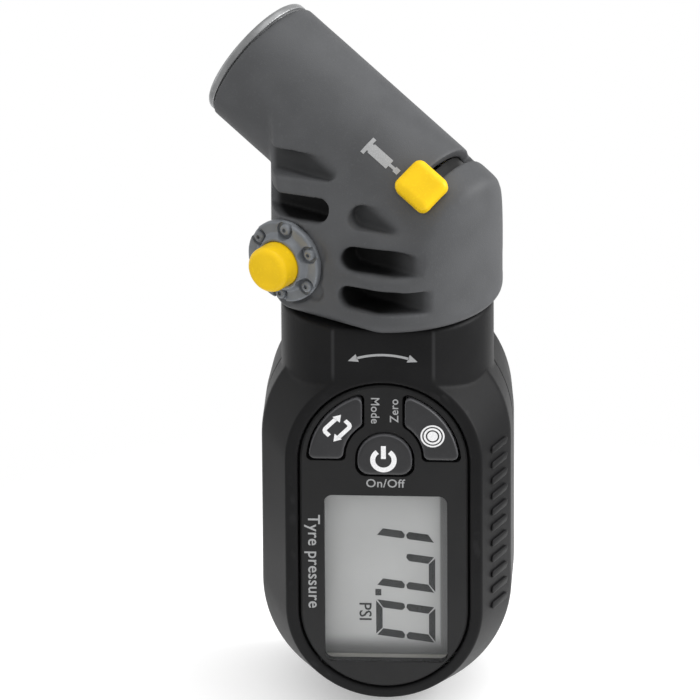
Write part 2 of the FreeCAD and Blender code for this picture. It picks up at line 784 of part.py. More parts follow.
def lcd_frame():
    """Tray that carries the display cell on the circuit board."""
    front_y = lcd_front_y()
    half_w = LCD_WIDTH / 2 + SEAT_GAP + LCD_FRAME_BORDER
    half_h = LCD_HEIGHT / 2 + SEAT_GAP + LCD_FRAME_BORDER
    frame = box(
        WINDOW_CENTRE_X - half_w,
        WINDOW_CENTRE_X + half_w,
        front_y,
        BOARD_FRONT_Y,
        WINDOW_CENTRE_Z - half_h,
        WINDOW_CENTRE_Z + half_h,
    )
    cell_half_w = LCD_WIDTH / 2 + SEAT_GAP
    cell_half_h = LCD_HEIGHT / 2 + SEAT_GAP
    seat = box(
        WINDOW_CENTRE_X - cell_half_w,
        WINDOW_CENTRE_X + cell_half_w,
        front_y - 1,
        front_y + LCD_THICKNESS,
        WINDOW_CENTRE_Z - cell_half_h,
        WINDOW_CENTRE_Z + cell_half_h,
    )
    half_open_w = LCD_WIDTH / 2 - LCD_SEAT_WIDTH
    half_open_h = LCD_HEIGHT / 2 - LCD_SEAT_WIDTH
    opening = box(
        WINDOW_CENTRE_X - half_open_w,
        WINDOW_CENTRE_X + half_open_w,
        front_y - 1,
        BOARD_FRONT_Y + 1,
        WINDOW_CENTRE_Z - half_open_h,
        WINDOW_CENTRE_Z + half_open_h,
    )
    clear_of_walls = case_body(WALL + LOOSE_GAP)
    return frame.cut([seat, opening]).common(clear_of_walls)


def zebra_strip():
    """Rubber connector between the display cell and the board."""
    left_x = WINDOW_CENTRE_X - LCD_WIDTH / 2 + LCD_SEAT_WIDTH + SEAT_GAP
    half_h = LCD_HEIGHT / 2 - LCD_SEAT_WIDTH - SEAT_GAP
    return box(
        left_x,
        left_x + ZEBRA_WIDTH,
        lcd_front_y() + LCD_THICKNESS,
        BOARD_FRONT_Y,
        WINDOW_CENTRE_Z - half_h,
        WINDOW_CENTRE_Z + half_h,
    )


# Electronics


def circuit_board():
    board = stadium_prism(
        BOARD_HALF_WIDTH, BODY_TOP_CENTRE_Z, BODY_BOTTOM_CENTRE_Z, BOARD_FRONT_Y, BOARD_BACK_Y
    )
    reach = BODY_HALF_WIDTH
    above = box(-reach, reach, BOARD_FRONT_Y - 1, BOARD_BACK_Y + 1, BOARD_TOP_Z, 0)
    board = board.cut(above)
    for x, z in screw_places():
        board = board.cut(screw_boss(x, z, SEAT_GAP, BOARD_FRONT_Y - 1, BOARD_BACK_Y + 1))
    return board


def circuit_components():
    half = CHIP_SIZE / 2
    chip_z = CELL_Z + half
    chip = box(-half, half, BOARD_BACK_Y, BOARD_BACK_Y + CHIP_THICKNESS, chip_z - half, chip_z + half)
    crystal_x = half + 2 * CRYSTAL_R
    crystal = rod(
        CRYSTAL_R,
        Vector(crystal_x, BOARD_BACK_Y + CRYSTAL_R, chip_z - CRYSTAL_LENGTH / 2),
        Vector(crystal_x, BOARD_BACK_Y + CRYSTAL_R, chip_z + CRYSTAL_LENGTH / 2),
    )
    parts = [chip, crystal]
    for step in range(CAPACITOR_COUNT):
        low_x = -half - 3 * CAPACITOR_SIZE
        low_z = chip_z - half + 2 * CAPACITOR_SIZE * step
        parts.append(
            box(
                low_x,
                low_x + CAPACITOR_SIZE,
                BOARD_BACK_Y,
                BOARD_BACK_Y + CAPACITOR_SIZE / 2,
                low_z,
                low_z + CAPACITOR_SIZE,
            )
        )
    return Part.makeCompound(parts)


def pressure_sensor():
    top_z = MANIFOLD_BOTTOM_Z - LOOSE_GAP
    half = SENSOR_WIDTH / 2
    can = box(-half, half, BOARD_BACK_Y, half, top_z - SENSOR_HEIGHT, top_z)
    port = z_rod(SENSOR_PORT_R, top_z, top_z + SENSOR_PORT_LENGTH)
    sensor = can.fuse(port)
    return sensor.cut(z_rod(SENSOR_PORT_BORE_R, top_z - SENSOR_HEIGHT / 2, top_z + SENSOR_PORT_LENGTH))


def sensor_socket(slack):
    """Space in the manifold's underside for the sensor's port and its seal."""
    return z_rod(2 * SENSOR_PORT_R + slack, MANIFOLD_BOTTOM_Z, MANIFOLD_BOTTOM_Z + SENSOR_PORT_R)


def sensor_seal():
    section = SENSOR_PORT_R / 2
    ring = Part.makeTorus(
        SENSOR_PORT_R + section,
        section - FACE_GAP,
        Vector(0, 0, MANIFOLD_BOTTOM_Z + SENSOR_PORT_R - section),
        UP,
    )
    return ring


def air_manifold():
    drum = z_rod(COLLAR_INNER_R - SEAT_GAP, MANIFOLD_BOTTOM_Z, MANIFOLD_TOP_Z)
    reach = COLLAR_R
    slab = box(
        -reach, reach, -MANIFOLD_HALF_DEPTH, MANIFOLD_HALF_DEPTH, MANIFOLD_BOTTOM_Z, MANIFOLD_TOP_Z
    )
    block = drum.common(slab)
    block = block.cut(z_rod(STEM_SOCKET_R, STEM_SOCKET_BOTTOM_Z, MANIFOLD_TOP_Z + 1))
    block = block.cut(z_rod(AIR_BORE_R, MANIFOLD_BOTTOM_Z - 1, STEM_SOCKET_BOTTOM_Z + 1))
    return block.cut(sensor_socket(0))


# Battery


def battery_cell():
    can = y_rod(CELL_R, 0, CELL_Z, CELL_FRONT_Y + CELL_STEP, CELL_BACK_Y)
    pole = y_rod(CELL_STEP_R, 0, CELL_Z, CELL_FRONT_Y, CELL_FRONT_Y + CELL_STEP)
    return can.fuse(pole)


def positive_contact_x():
    return CELL_R + FACE_GAP


def contact_slots():
    """Slits in the well's floor for the contacts' legs."""
    half = CONTACT_WIDTH / 2 + SEAT_GAP
    x0 = positive_contact_x() - SEAT_GAP
    floor_front_y = WELL_FLOOR_Y - WELL_FLOOR
    positive = box(
        x0,
        x0 + CONTACT_THICKNESS + 2 * SEAT_GAP,
        floor_front_y - 1,
        WELL_FLOOR_Y + 1,
        CELL_Z - half,
        CELL_Z + half,
    )
    leg_z = CELL_Z - CELL_STEP_R
    negative = box(
        -half,
        half,
        floor_front_y - 1,
        WELL_FLOOR_Y + 1,
        leg_z - SEAT_GAP,
        leg_z + CONTACT_THICKNESS + SEAT_GAP,
    )
    return positive, negative


def battery_contact_positive():
    half = CONTACT_WIDTH / 2
    x0 = positive_contact_x()
    return box(
        x0, x0 + CONTACT_THICKNESS, BOARD_BACK_Y, CELL_BACK_Y - CELL_STEP, CELL_Z - half, CELL_Z + half
    )


def battery_contact_negative():
    half = CONTACT_WIDTH / 2
    leg_z = CELL_Z - CELL_STEP_R
    leg = box(-half, half, BOARD_BACK_Y, WELL_FLOOR_Y + CONTACT_THICKNESS, leg_z, leg_z + CONTACT_THICKNESS)
    strip = box(
        -half, half, WELL_FLOOR_Y, WELL_FLOOR_Y + CONTACT_THICKNESS, leg_z, CELL_Z + CELL_STEP_R / 2
    )
    dimple = y_rod(CONTACT_WIDTH / 3, 0, CELL_Z, WELL_FLOOR_Y, CELL_FRONT_Y - FACE_GAP)
    return fused([leg, strip, dimple])


def battery_door():
    door = y_rod(DOOR_R, 0, CELL_Z, DOOR_INNER_Y, BACK_Y)
    slot = box(
        -DOOR_SLOT_LENGTH / 2,
        DOOR_SLOT_LENGTH / 2,
        BACK_Y - DOOR_SLOT_DEPTH,
        BACK_Y + 1,
        CELL_Z - DOOR_SLOT_WIDTH / 2,
        CELL_Z + DOOR_SLOT_WIDTH / 2,
    )
    door = door.cut(slot)
    lug_ring = y_rod(
        DOOR_R + DOOR_LUG_REACH, 0, CELL_Z, DOOR_INNER_Y, DOOR_INNER_Y + DOOR_LUG_THICKNESS
    )
    half = DOOR_LUG_WIDTH / 2
    reach = DOOR_R + 2 * DOOR_LUG_REACH
    band = box(-reach, reach, DOOR_INNER_Y, BACK_Y, CELL_Z - half, CELL_Z + half)
    return fused([door, lug_ring.common(band)])


def battery_door_seal():
    inner = DOOR_R - DOOR_SEAL_SECTION
    front_y = DOOR_INNER_Y - DOOR_SEAL_SECTION + LOOSE_GAP
    return y_pipe(DOOR_R, inner, 0, CELL_Z, front_y, DOOR_INNER_Y)


# Head frame: +X is the chuck's heading, +Y the side with the release valve


def to_head(shape):
    """From the head's own frame to the gauge's."""
    placed = shape.copy()
    placed.rotate(Vector(0, 0, 0), UP, HEAD_TURN)
    return placed


def from_chuck(shape):
    """From the chuck's own frame, its axis along +X, to the head's."""
    placed = shape.copy()
    placed.rotate(Vector(0, 0, 0), BACK, -CHUCK_RISE)
    placed.translate(Vector(0, 0, CHUCK_AXIS_Z))
    return placed


def chuck_point(s):
    """The point on the chuck's axis this far from the swivel axis, in the gauge's frame."""
    rise = math.radians(CHUCK_RISE)
    turn = math.radians(HEAD_TURN)
    level = s * math.cos(rise)
    return Vector(
        level * math.cos(turn), level * math.sin(turn), CHUCK_AXIS_Z + s * math.sin(rise)
    )


def release_rod(radius, y0, y1):
    return y_rod(radius, RELEASE_X, RELEASE_Z, y0, y1)


def release_pipe(outer, inner, y0, y1):
    return y_pipe(outer, inner, RELEASE_X, RELEASE_Z, y0, y1)


def head_drum():
    """Round drum with two flats and a rounded lower edge."""
    height = CHUCK_AXIS_Z + 2 * BARREL_R
    drum = z_rod(DRUM_R, HEAD_BOTTOM_Z, height)
    reach = DRUM_R + 1
    drum = drum.common(
        box(-reach, reach, -DRUM_HALF_FLAT, DRUM_HALF_FLAT, HEAD_BOTTOM_Z, height)
    )
    uprights = []
    for edge in drum.Edges:
        bounds = edge.BoundBox
        on_flat = abs(abs(bounds.YMin) - DRUM_HALF_FLAT) < NEAR
        if bounds.ZLength > DRUM_R and bounds.XLength + bounds.YLength < NEAR and on_flat:
            uprights.append(edge)
    drum = drum.makeFillet(DRUM_CORNER, uprights)
    lower = [e for e in drum.Edges if e.BoundBox.ZMax < HEAD_BOTTOM_Z + NEAR]
    return drum.makeFillet(DRUM_BOTTOM_ROUND, lower)


def roof_section():
    """Section square to the chuck: the barrel's top, flaring down to the flats."""
    flare = math.radians(ROOF_FLARE)
    touch = Vector(0, BARREL_R * math.cos(flare), BARREL_R * math.sin(flare))
    spread = DRUM_R + 1
    drop = (spread - touch.y) / math.tan(flare)
    foot_z = -4 * DRUM_R
    points = [
        touch,
        Vector(0, spread, touch.z - drop),
        Vector(0, spread, foot_z),
        Vector(0, -spread, foot_z),
        Vector(0, -spread, touch.z - drop),
        Vector(0, -touch.y, touch.z),
    ]
    edges = [Part.LineSegment(points[i], points[i + 1]).toShape() for i in range(5)]
    crown = Vector(0, 0, BARREL_R)
    edges.append(Part.Arc(points[5], crown, points[0]).toShape())
    return Part.Wire(edges)


def head_block():
    reach = 3 * DRUM_R
    face = Part.Face(roof_section())
    roof = face.extrude(Vector(2 * reach, 0, 0))
    roof.translate(Vector(-reach, 0, 0))
    return head_drum().common(from_chuck(roof))


def slot_row_z(row):
    return SLOT_FIRST_Z + SLOT_PITCH * row


def side_slot(row, end_x, heading, side):
    """Groove across the flank from a round end, open towards the heading."""
    z = slot_row_z(row)
    radius = SLOT_HEIGHT / 2
    depth_y = CORE_HALF_WIDTH - (SLOT_LOW_EXTRA if row == 0 else 0)
    far_y = DRUM_R + 1
    centre_x = end_x + heading * radius
    far_x = heading * 2 * DRUM_R
    x0, x1 = sorted((centre_x, far_x))
    run = box(x0, x1, depth_y, far_y, z - radius, z + radius)
    end = y_rod(radius, centre_x, z, depth_y, far_y)
    slot = run.fuse(end)
    if side < 0:
        slot = slot.mirror(Vector(0, 0, 0), BACK)
    return slot


def head_slots():
    slots = []
    for side in (1, -1):
        for row in (0, 1, 2):
            slots.append(side_slot(row, SLOT_REAR_END_X, -1, side))
        for row in (2, 3):
            slots.append(side_slot(row, SLOT_FRONT_END_X, 1, side))
    return slots


def disc_angles():
    return [DISC_SCREW_START + 360 * i / DISC_SCREWS for i in range(DISC_SCREWS)]


def on_disc(radius, angle):
    turn = math.radians(angle)
    return RELEASE_X + radius * math.cos(turn), RELEASE_Z + radius * math.sin(turn)


def disc_recess():
    recess = release_rod(DISC_R + DISC_RECESS_GAP, DISC_BACK_Y, DISC_FACE_Y + 1)
    scallops = []
    for angle in disc_angles():
        x, z = on_disc(DISC_R, angle)
        scallops.append(y_rod(DISC_SCALLOP_R, x, z, DISC_BACK_Y, DISC_FACE_Y + 1))
    return recess.fuse(scallops)


def sector_x(r_in, r_out, s0, s1, angle0, angle1):
    """Part of a ring about X, angles measured from +Y towards +Z."""
    start = math.radians(angle0)
    profile = Part.makePolygon(
        [
            Vector(s0, r_in * math.cos(start), r_in * math.sin(start)),
            Vector(s1, r_in * math.cos(start), r_in * math.sin(start)),
            Vector(s1, r_out * math.cos(start), r_out * math.sin(start)),
            Vector(s0, r_out * math.cos(start), r_out * math.sin(start)),
            Vector(s0, r_in * math.cos(start), r_in * math.sin(start)),
        ]
    )
    return Part.Face(profile).revolve(Vector(0, 0, 0), ACROSS, angle1 - angle0)


def stem_half_angle():
    return math.degrees(math.asin(SELECTOR_STEM_WIDTH / 2 / BARREL_BORE_R))


def selector_slot():
    clearance = math.degrees(LOOSE_GAP / BARREL_BORE_R)
    spread = stem_half_angle() + clearance
    half = SELECTOR_SLOT_WIDTH / 2
    return sector_x(
        BARREL_BORE_R - 1,
        2 * DRUM_R,
        SELECTOR_SLOT_S - half,
        SELECTOR_SLOT_S + half,
        SELECTOR_ANGLE - spread,
        SELECTOR_ANGLE + SELECTOR_SWEEP + spread,
    )


def head_shell():
    block = head_block().cut(head_slots())
    barrel = x_rod(BARREL_R, 0, SHELL_END_S)
    tip = [e for e in barrel.Edges if e.BoundBox.XMin > SHELL_END_S - NEAR]
    barrel = barrel.makeFillet(BARREL_TIP_ROUND, tip)
    shell = block.fuse(from_chuck(barrel))
    shell = shell.fuse(release_rod(RELEASE_BOSS_R, HEAD_CAVITY_HALF_WIDTH, DISC_BACK_Y))
    shell = shell.cut(disc_recess())
    bore = from_chuck(x_rod(BARREL_BORE_R, -BARREL_BORE_BACK, BARREL_LENGTH + 1))
    cavity = z_rod(HEAD_CAVITY_R, BASE_TOP_Z, HEAD_CAVITY_TOP_Z).common(
        box(
            -HEAD_CAVITY_R,
            HEAD_CAVITY_R,
            -HEAD_CAVITY_HALF_WIDTH,
            HEAD_CAVITY_HALF_WIDTH,
            BASE_TOP_Z,
            HEAD_CAVITY_TOP_Z,
        )
    )
    for x, y in base_screw_places():
        post = rod(BASE_POST_R, Vector(x, y, BASE_TOP_Z), Vector(x, y, HEAD_CAVITY_TOP_Z))
        cavity = cavity.cut(post)
    base_seat = z_rod(BASE_R + SEAT_GAP, HEAD_BOTTOM_Z - 1, BASE_TOP_Z)
    release_bore = release_rod(RELEASE_BORE_R, 0, DISC_FACE_Y)
    shell = shell.cut([bore, cavity, base_seat, release_bore])
    shell = shell.cut(from_chuck(selector_slot()))
    for x, z in [on_disc(DISC_SCREW_RADIUS, a) for a in disc_angles()]:
        pilot = y_rod(DISC_SCREW_R + FACE_GAP, x, z, DISC_SCREW_END_Y - LOOSE_GAP, DISC_FACE_Y)
        shell = shell.cut(pilot)
    for x, y in base_screw_places():
        hole = rod(
            BASE_SCREW_R + FACE_GAP,
            Vector(x, y, BASE_TOP_Z - 1),
            Vector(x, y, HEAD_BOTTOM_Z + BASE_SCREW_LENGTH + LOOSE_GAP),
        )
        shell = shell.cut(hole)
    return shell


def base_screw_places():
    places = []
    for angle in BASE_SCREW_ANGLES:
        turn = math.radians(angle)
        places.append((BASE_SCREW_RADIUS * math.cos(turn), BASE_SCREW_RADIUS * math.sin(turn)))
    return places


def head_base():
    """Plate that closes the head from below, with a seat for each screw head."""
    plate = z_rod(BASE_R, HEAD_BOTTOM_Z, BASE_TOP_Z).cut(z_rod(STEM_SOCKET_R, 0, BASE_TOP_Z + 1))
    for x, y in base_screw_places():
        plate = plate.cut(
            rod(BASE_SCREW_R + SEAT_GAP, Vector(x, y, 0), Vector(x, y, BASE_TOP_Z + 1))
        )
        seat = Vector(x, y, HEAD_BOTTOM_Z + BASE_SCREW_HEAD_HEIGHT + SEAT_GAP)
        plate = plate.cut(rod(BASE_SCREW_HEAD_R + SEAT_GAP, Vector(x, y, 0), seat))
    return plate


def head_base_screws():
    screws = []
    for x, y in base_screw_places():
        low = HEAD_BOTTOM_Z + SEAT_GAP
        high = low + BASE_SCREW_HEAD_HEIGHT
        head = rod(BASE_SCREW_HEAD_R, Vector(x, y, low), Vector(x, y, high))
        shank = rod(
            BASE_SCREW_R, Vector(x, y, high), Vector(x, y, HEAD_BOTTOM_Z + BASE_SCREW_LENGTH)
        )
        screws.append(head.fuse(shank))
    return Part.makeCompound(screws)


def chuck_end_ring():
    """Cap of the barrel: a plate with a rim outside and a skirt inside."""
    neck_end = SHELL_END_S + RING_GROOVE
    plate = x_rod(RING_R, neck_end, RING_FACE_S)
    rim = [e for e in plate.Edges if e.BoundBox.XMin > RING_FACE_S - NEAR]
    plate = plate.makeFillet(RING_ROUND, rim)
    neck = x_rod(RING_R - RING_GROOVE_DEPTH, SHELL_END_S, neck_end)
    skirt = x_rod(SKIRT_R, BARREL_LENGTH - RING_SKIRT_LENGTH, BARREL_LENGTH)
    ring = fused([plate, neck, skirt])
    ring = ring.cut(x_rod(RING_HOLE_R, BARREL_LENGTH - 1, RING_FACE_S + 1))
    hollow = SKIRT_R - RING_SKIRT_WALL
    return ring.cut(x_rod(hollow, BARREL_LENGTH - RING_SKIRT_LENGTH - 1, BARREL_LENGTH))


def chuck_seal():
    """Rubber bush that grips the tyre valve."""
    bush = x_pipe(SEAL_R, VALVE_BORE_R, SEAL_BACK_S, SEAL_MOUTH_S)
    mouth = []
    for edge in bush.Edges:
        bounds = edge.BoundBox
        if bounds.XMin > SEAL_MOUTH_S - NEAR and bounds.YLength < 2 * VALVE_BORE_R + NEAR:
            mouth.append(edge)
    return bush.makeFillet(SEAL_ROUND, mouth)


def seal_clamp():
    """Sleeve behind the valve seal, with an arm back to the cam."""
    sleeve = x_pipe(CLAMP_R, CORE_TUBE_R + RUNNING_GAP, CLAMP_BACK_S, CLAMP_FRONT_S)
    arm_end_s = CAM_FRONT_S + LOOSE_GAP
    half = CLAMP_ARM_WIDTH / 2
    arm = box(
        arm_end_s, CLAMP_BACK_S + 1, -half, half, CLAMP_R - CLAMP_ARM_THICKNESS, CLAMP_R - SEAT_GAP
    )
    arm.rotate(Vector(0, 0, 0), ACROSS, CLAMP_ARM_ANGLE - 90)
    return fused([sleeve, arm])


def selector_cam():
    """Stepped ring segment inside the barrel, with a stem out through the slot."""
    step_angle = CAM_SPAN / CAM_STEPS
    rise = CLAMP_TRAVEL * step_angle / SELECTOR_SWEEP
    inner = CAM_R - CAM_WALL
    parts = []
    for i in range(CAM_STEPS):
        start = CAM_START_ANGLE + step_angle * i
        steps_below = (CLAMP_ARM_ANGLE - start) / step_angle - 0.5
        front = CAM_FRONT_S - rise * max(0, steps_below)
        parts.append(sector_x(inner, CAM_R, CAM_BACK_S, front, start, start + step_angle))
    half_s = SELECTOR_STEM_LENGTH / 2
    half_w = SELECTOR_STEM_WIDTH / 2
    stem = box(
        SELECTOR_SLOT_S - half_s,
        SELECTOR_SLOT_S + half_s,
        -half_w,
        half_w,
        CAM_R - CAM_WALL / 2,
        BARREL_R + LOOSE_GAP + 1,
    )
    stem.rotate(Vector(0, 0, 0), ACROSS, SELECTOR_ANGLE - 90)
    parts.append(stem)
    return fused(parts).cut(selector_slider_block())


def selector_slider_block():
    half_l = SELECTOR_LENGTH / 2
    half_w = SELECTOR_WIDTH / 2
    underside = BARREL_R + LOOSE_GAP
    low = math.sqrt(underside * underside - half_w * half_w) - SEAT_GAP
    pillow = box(SELECTOR_S - half_l, SELECTOR_S + half_l, -half_w, half_w, low, SELECTOR_TOP_R)
    soft = [e for e in pillow.Edges if e.BoundBox.ZMax > low + NEAR]
    pillow = pillow.makeFillet(SELECTOR_ROUND, soft)
    pillow = pillow.cut(x_rod(underside, SELECTOR_S - SELECTOR_LENGTH, SELECTOR_S + SELECTOR_LENGTH))
    pillow.rotate(Vector(0, 0, 0), ACROSS, SELECTOR_ANGLE - 90)
    return pillow


def selector_slider():
    return selector_slider_block()


def coil_spring(coil_r, wire_r, length, turns):
    """Spring along +Z from the origin, its wire within the length."""
    run = length - 2 * wire_r
    helix = Part.makeHelix(run / turns, run, coil_r)
    section = Part.Wire([Part.makeCircle(wire_r, Vector(coil_r, 0, 0), BACK)])
    spring = Part.Wire(helix).makePipeShell([section], True, True)
    spring.translate(Vector(0, 0, wire_r))
    return spring


def head_core():
    """Air block: tube along the chuck, boss for the swivel stem and release branch."""
    tube = from_chuck(x_rod(CORE_TUBE_R, -CORE_TUBE_BACK, CORE_TUBE_TIP))
    boss = z_rod(CORE_BOSS_R, BASE_TOP_Z, CHUCK_AXIS_Z)
    boss = boss.cut(from_chuck(box(-DRUM_R, DRUM_R, -DRUM_R, DRUM_R, 0, DRUM_R)))
    flange = z_rod(CORE_FLANGE_R, BASE_TOP_Z, BASE_TOP_Z + CORE_FLANGE_THICKNESS)
    branch = release_rod(RELEASE_CORE_R, RELEASE_CORE_START_Y, RELEASE_CORE_END_Y)
    core = fused([tube, boss, flange, branch])
    chamber = from_chuck(x_rod(PIN_CHAMBER_R, PIN_CHAMBER_START, PIN_GUIDE_BACK_S))
    guide = from_chuck(x_rod(PIN_R + RUNNING_GAP, PIN_GUIDE_BACK_S - 1, CORE_TUBE_TIP + 1))
    socket = z_rod(STEM_R, BASE_TOP_Z - 1, STEM_TOP_Z)
    rise = z_rod(AIR_BORE_R, STEM_TOP_Z - 1, CHUCK_AXIS_Z)
    link = rod(AIR_BORE_R, Vector(0, 0, RELEASE_Z), Vector(RELEASE_X, 0, RELEASE_Z))
    valve = release_rod(RELEASE_CHAMBER_R, RELEASE_CHAMBER_START_Y, RELEASE_CHAMBER_END_Y)
    vent = release_rod(RELEASE_VENT_R, RELEASE_CHAMBER_END_Y - 1, RELEASE_CORE_END_Y + 1)
    return core.cut([chamber, guide, socket, rise, link, valve, vent])


def depressor_pin():
    """Pin that opens the tyre valve, with the collar its spring pushes on."""
    pin = x_rod(PIN_R, PIN_COLLAR_S - PIN_TAIL_LENGTH, PIN_TIP)
    collar = x_rod(PIN_COLLAR_R, PIN_COLLAR_S, PIN_COLLAR_S + PIN_COLLAR_LENGTH)
    tip = [e for e in pin.Edges if e.BoundBox.XMin > PIN_TIP - NEAR]
    return fused([pin.makeFillet(PIN_R / 2, tip), collar])


def pin_spring():
    length = PIN_COLLAR_S - PIN_CHAMBER_START
    spring = coil_spring(PIN_SPRING_COIL_R, PIN_SPRING_WIRE_R, length, PIN_SPRING_TURNS)
    spring.rotate(Vector(0, 0, 0), BACK, 90)
    spring.translate(Vector(PIN_CHAMBER_START, 0, 0))
    return spring


def release_disc():
    """Plate over the release valve, with pockets for its screw heads."""
    disc = release_pipe(DISC_R, BUTTON_R + RUNNING_GAP, DISC_BACK_Y, DISC_FACE_Y)
    rim = []
    for edge in edges_at_y(disc, DISC_FACE_Y):
        if edge.BoundBox.XLength > 2 * BUTTON_R + 1:
            rim.append(edge)
    disc = disc.makeFillet(DISC_EDGE, rim)
    hub = Part.makeCone(
        DISC_HUB_R,
        DISC_HUB_TOP_R,
        DISC_HUB_HEIGHT,
        Vector(RELEASE_X, DISC_FACE_Y, RELEASE_Z),
        BACK,
    )
    hub_end_y = DISC_FACE_Y + DISC_HUB_HEIGHT
    disc = disc.fuse(hub.cut(release_rod(BUTTON_R + RUNNING_GAP, DISC_FACE_Y - 1, hub_end_y + 1)))
    for angle in disc_angles():
        x, z = on_disc(DISC_SCREW_RADIUS, angle)
        disc = disc.cut(y_rod(DISC_SCREW_R + FACE_GAP, x, z, DISC_BACK_Y - 1, DISC_FACE_Y))
        pocket = y_rod(DISC_SCREW_POCKET_R, x, z, DISC_SCREW_SEAT_Y, DISC_FACE_Y + 1)
        disc = disc.cut(pocket)
    return disc


def release_screws():
    screws = []
    for angle in disc_angles():
        x, z = on_disc(DISC_SCREW_RADIUS, angle)
        face_y = DISC_SCREW_SEAT_Y + DISC_SCREW_HEAD_HEIGHT
        head = y_rod(DISC_SCREW_HEAD_R, x, z, DISC_SCREW_SEAT_Y, face_y)
        head = head.makeFillet(DISC_SCREW_ROUND, edges_at_y(head, face_y))
        shank = y_rod(DISC_SCREW_R, x, z, DISC_SCREW_END_Y, DISC_SCREW_SEAT_Y)
        socket = y_rod(DISC_SCREW_SOCKET_R, x, z, face_y - DISC_SCREW_SOCKET_DEPTH, face_y + 1)
        screws.append(head.fuse(shank).cut(socket))
    return Part.makeCompound(screws)


def release_button():
    cap = release_rod(BUTTON_R, BUTTON_BACK_Y, BUTTON_FACE_Y)
    cap = cap.makeFillet(BUTTON_ROUND, edges_at_y(cap, BUTTON_FACE_Y))
    flange_face_y = BUTTON_BACK_Y + BUTTON_FLANGE_THICKNESS
    flange = release_rod(BUTTON_R + BUTTON_FLANGE, BUTTON_BACK_Y, flange_face_y)
    return fused([cap, flange])


def release_stem():
    poppet_start_y = RELEASE_POPPET_END_Y - RELEASE_POPPET_THICKNESS
    stem = release_rod(RELEASE_STEM_R, poppet_start_y, BUTTON_BACK_Y)
    poppet = release_rod(RELEASE_POPPET_R, poppet_start_y, RELEASE_POPPET_END_Y)
    return fused([stem, poppet])


def release_seal():
    return release_pipe(
        RELEASE_POPPET_R, RELEASE_STEM_R, RELEASE_POPPET_END_Y, RELEASE_SEAL_END_Y
    )


def release_spring():
    length = BUTTON_BACK_Y - RELEASE_CORE_END_Y
    spring = coil_spring(
        RELEASE_SPRING_R, RELEASE_SPRING_WIRE_R, length, RELEASE_SPRING_TURNS
    )
    spring.rotate(Vector(0, 0, 0), ACROSS, -90)
    spring.translate(Vector(RELEASE_X, RELEASE_CORE_END_Y, RELEASE_Z))
    return spring


def swivel_stem():
    """Hollow pivot from the head down into the collar."""
    stem = z_pipe(STEM_R, AIR_BORE_R, STEM_BOTTOM_Z, STEM_TOP_Z)
    groove_r = STEM_SOCKET_R - 2 * (STEM_SEAL_SECTION_R + STEM_SEAL_STANDOFF)
    half = STEM_SEAL_GROOVE / 2
    for z in STEM_SEAL_Z:
        stem = stem.cut(z_pipe(STEM_R + 1, groove_r, z - half, z + half))
    clip_low_z = STEM_GROOVE_Z - CLIP_THICKNESS - SEAT_GAP
    return stem.cut(z_pipe(STEM_R + 1, STEM_R - CLIP_GROOVE, clip_low_z, STEM_GROOVE_Z))


def swivel_seals():
    rings = []
    centre_r = STEM_SOCKET_R - STEM_SEAL_SECTION_R - STEM_SEAL_STANDOFF
    for z in STEM_SEAL_Z:
        rings.append(Part.makeTorus(centre_r, STEM_SEAL_SECTION_R, Vector(0, 0, z), UP))
    return Part.makeCompound(rings)


def swivel_clip():
    """Open ring that keeps the stem in the collar."""
    high_z = STEM_GROOVE_Z - SEAT_GAP / 2
    low_z = high_z - CLIP_THICKNESS
    clip = z_pipe(CLIP_R, STEM_R - CLIP_GROOVE + RUNNING_GAP, low_z, high_z)
    half = CLIP_OPENING / 2
    return clip.cut(box(0, CLIP_R + 1, -half, half, low_z - 1, high_z + 1))


def swivel_washer():
    return z_pipe(WASHER_R, STEM_SOCKET_R + SEAT_GAP, 0, WASHER_THICKNESS)


NODES = {}


def export(name, shape):
    NODES[name] = shape


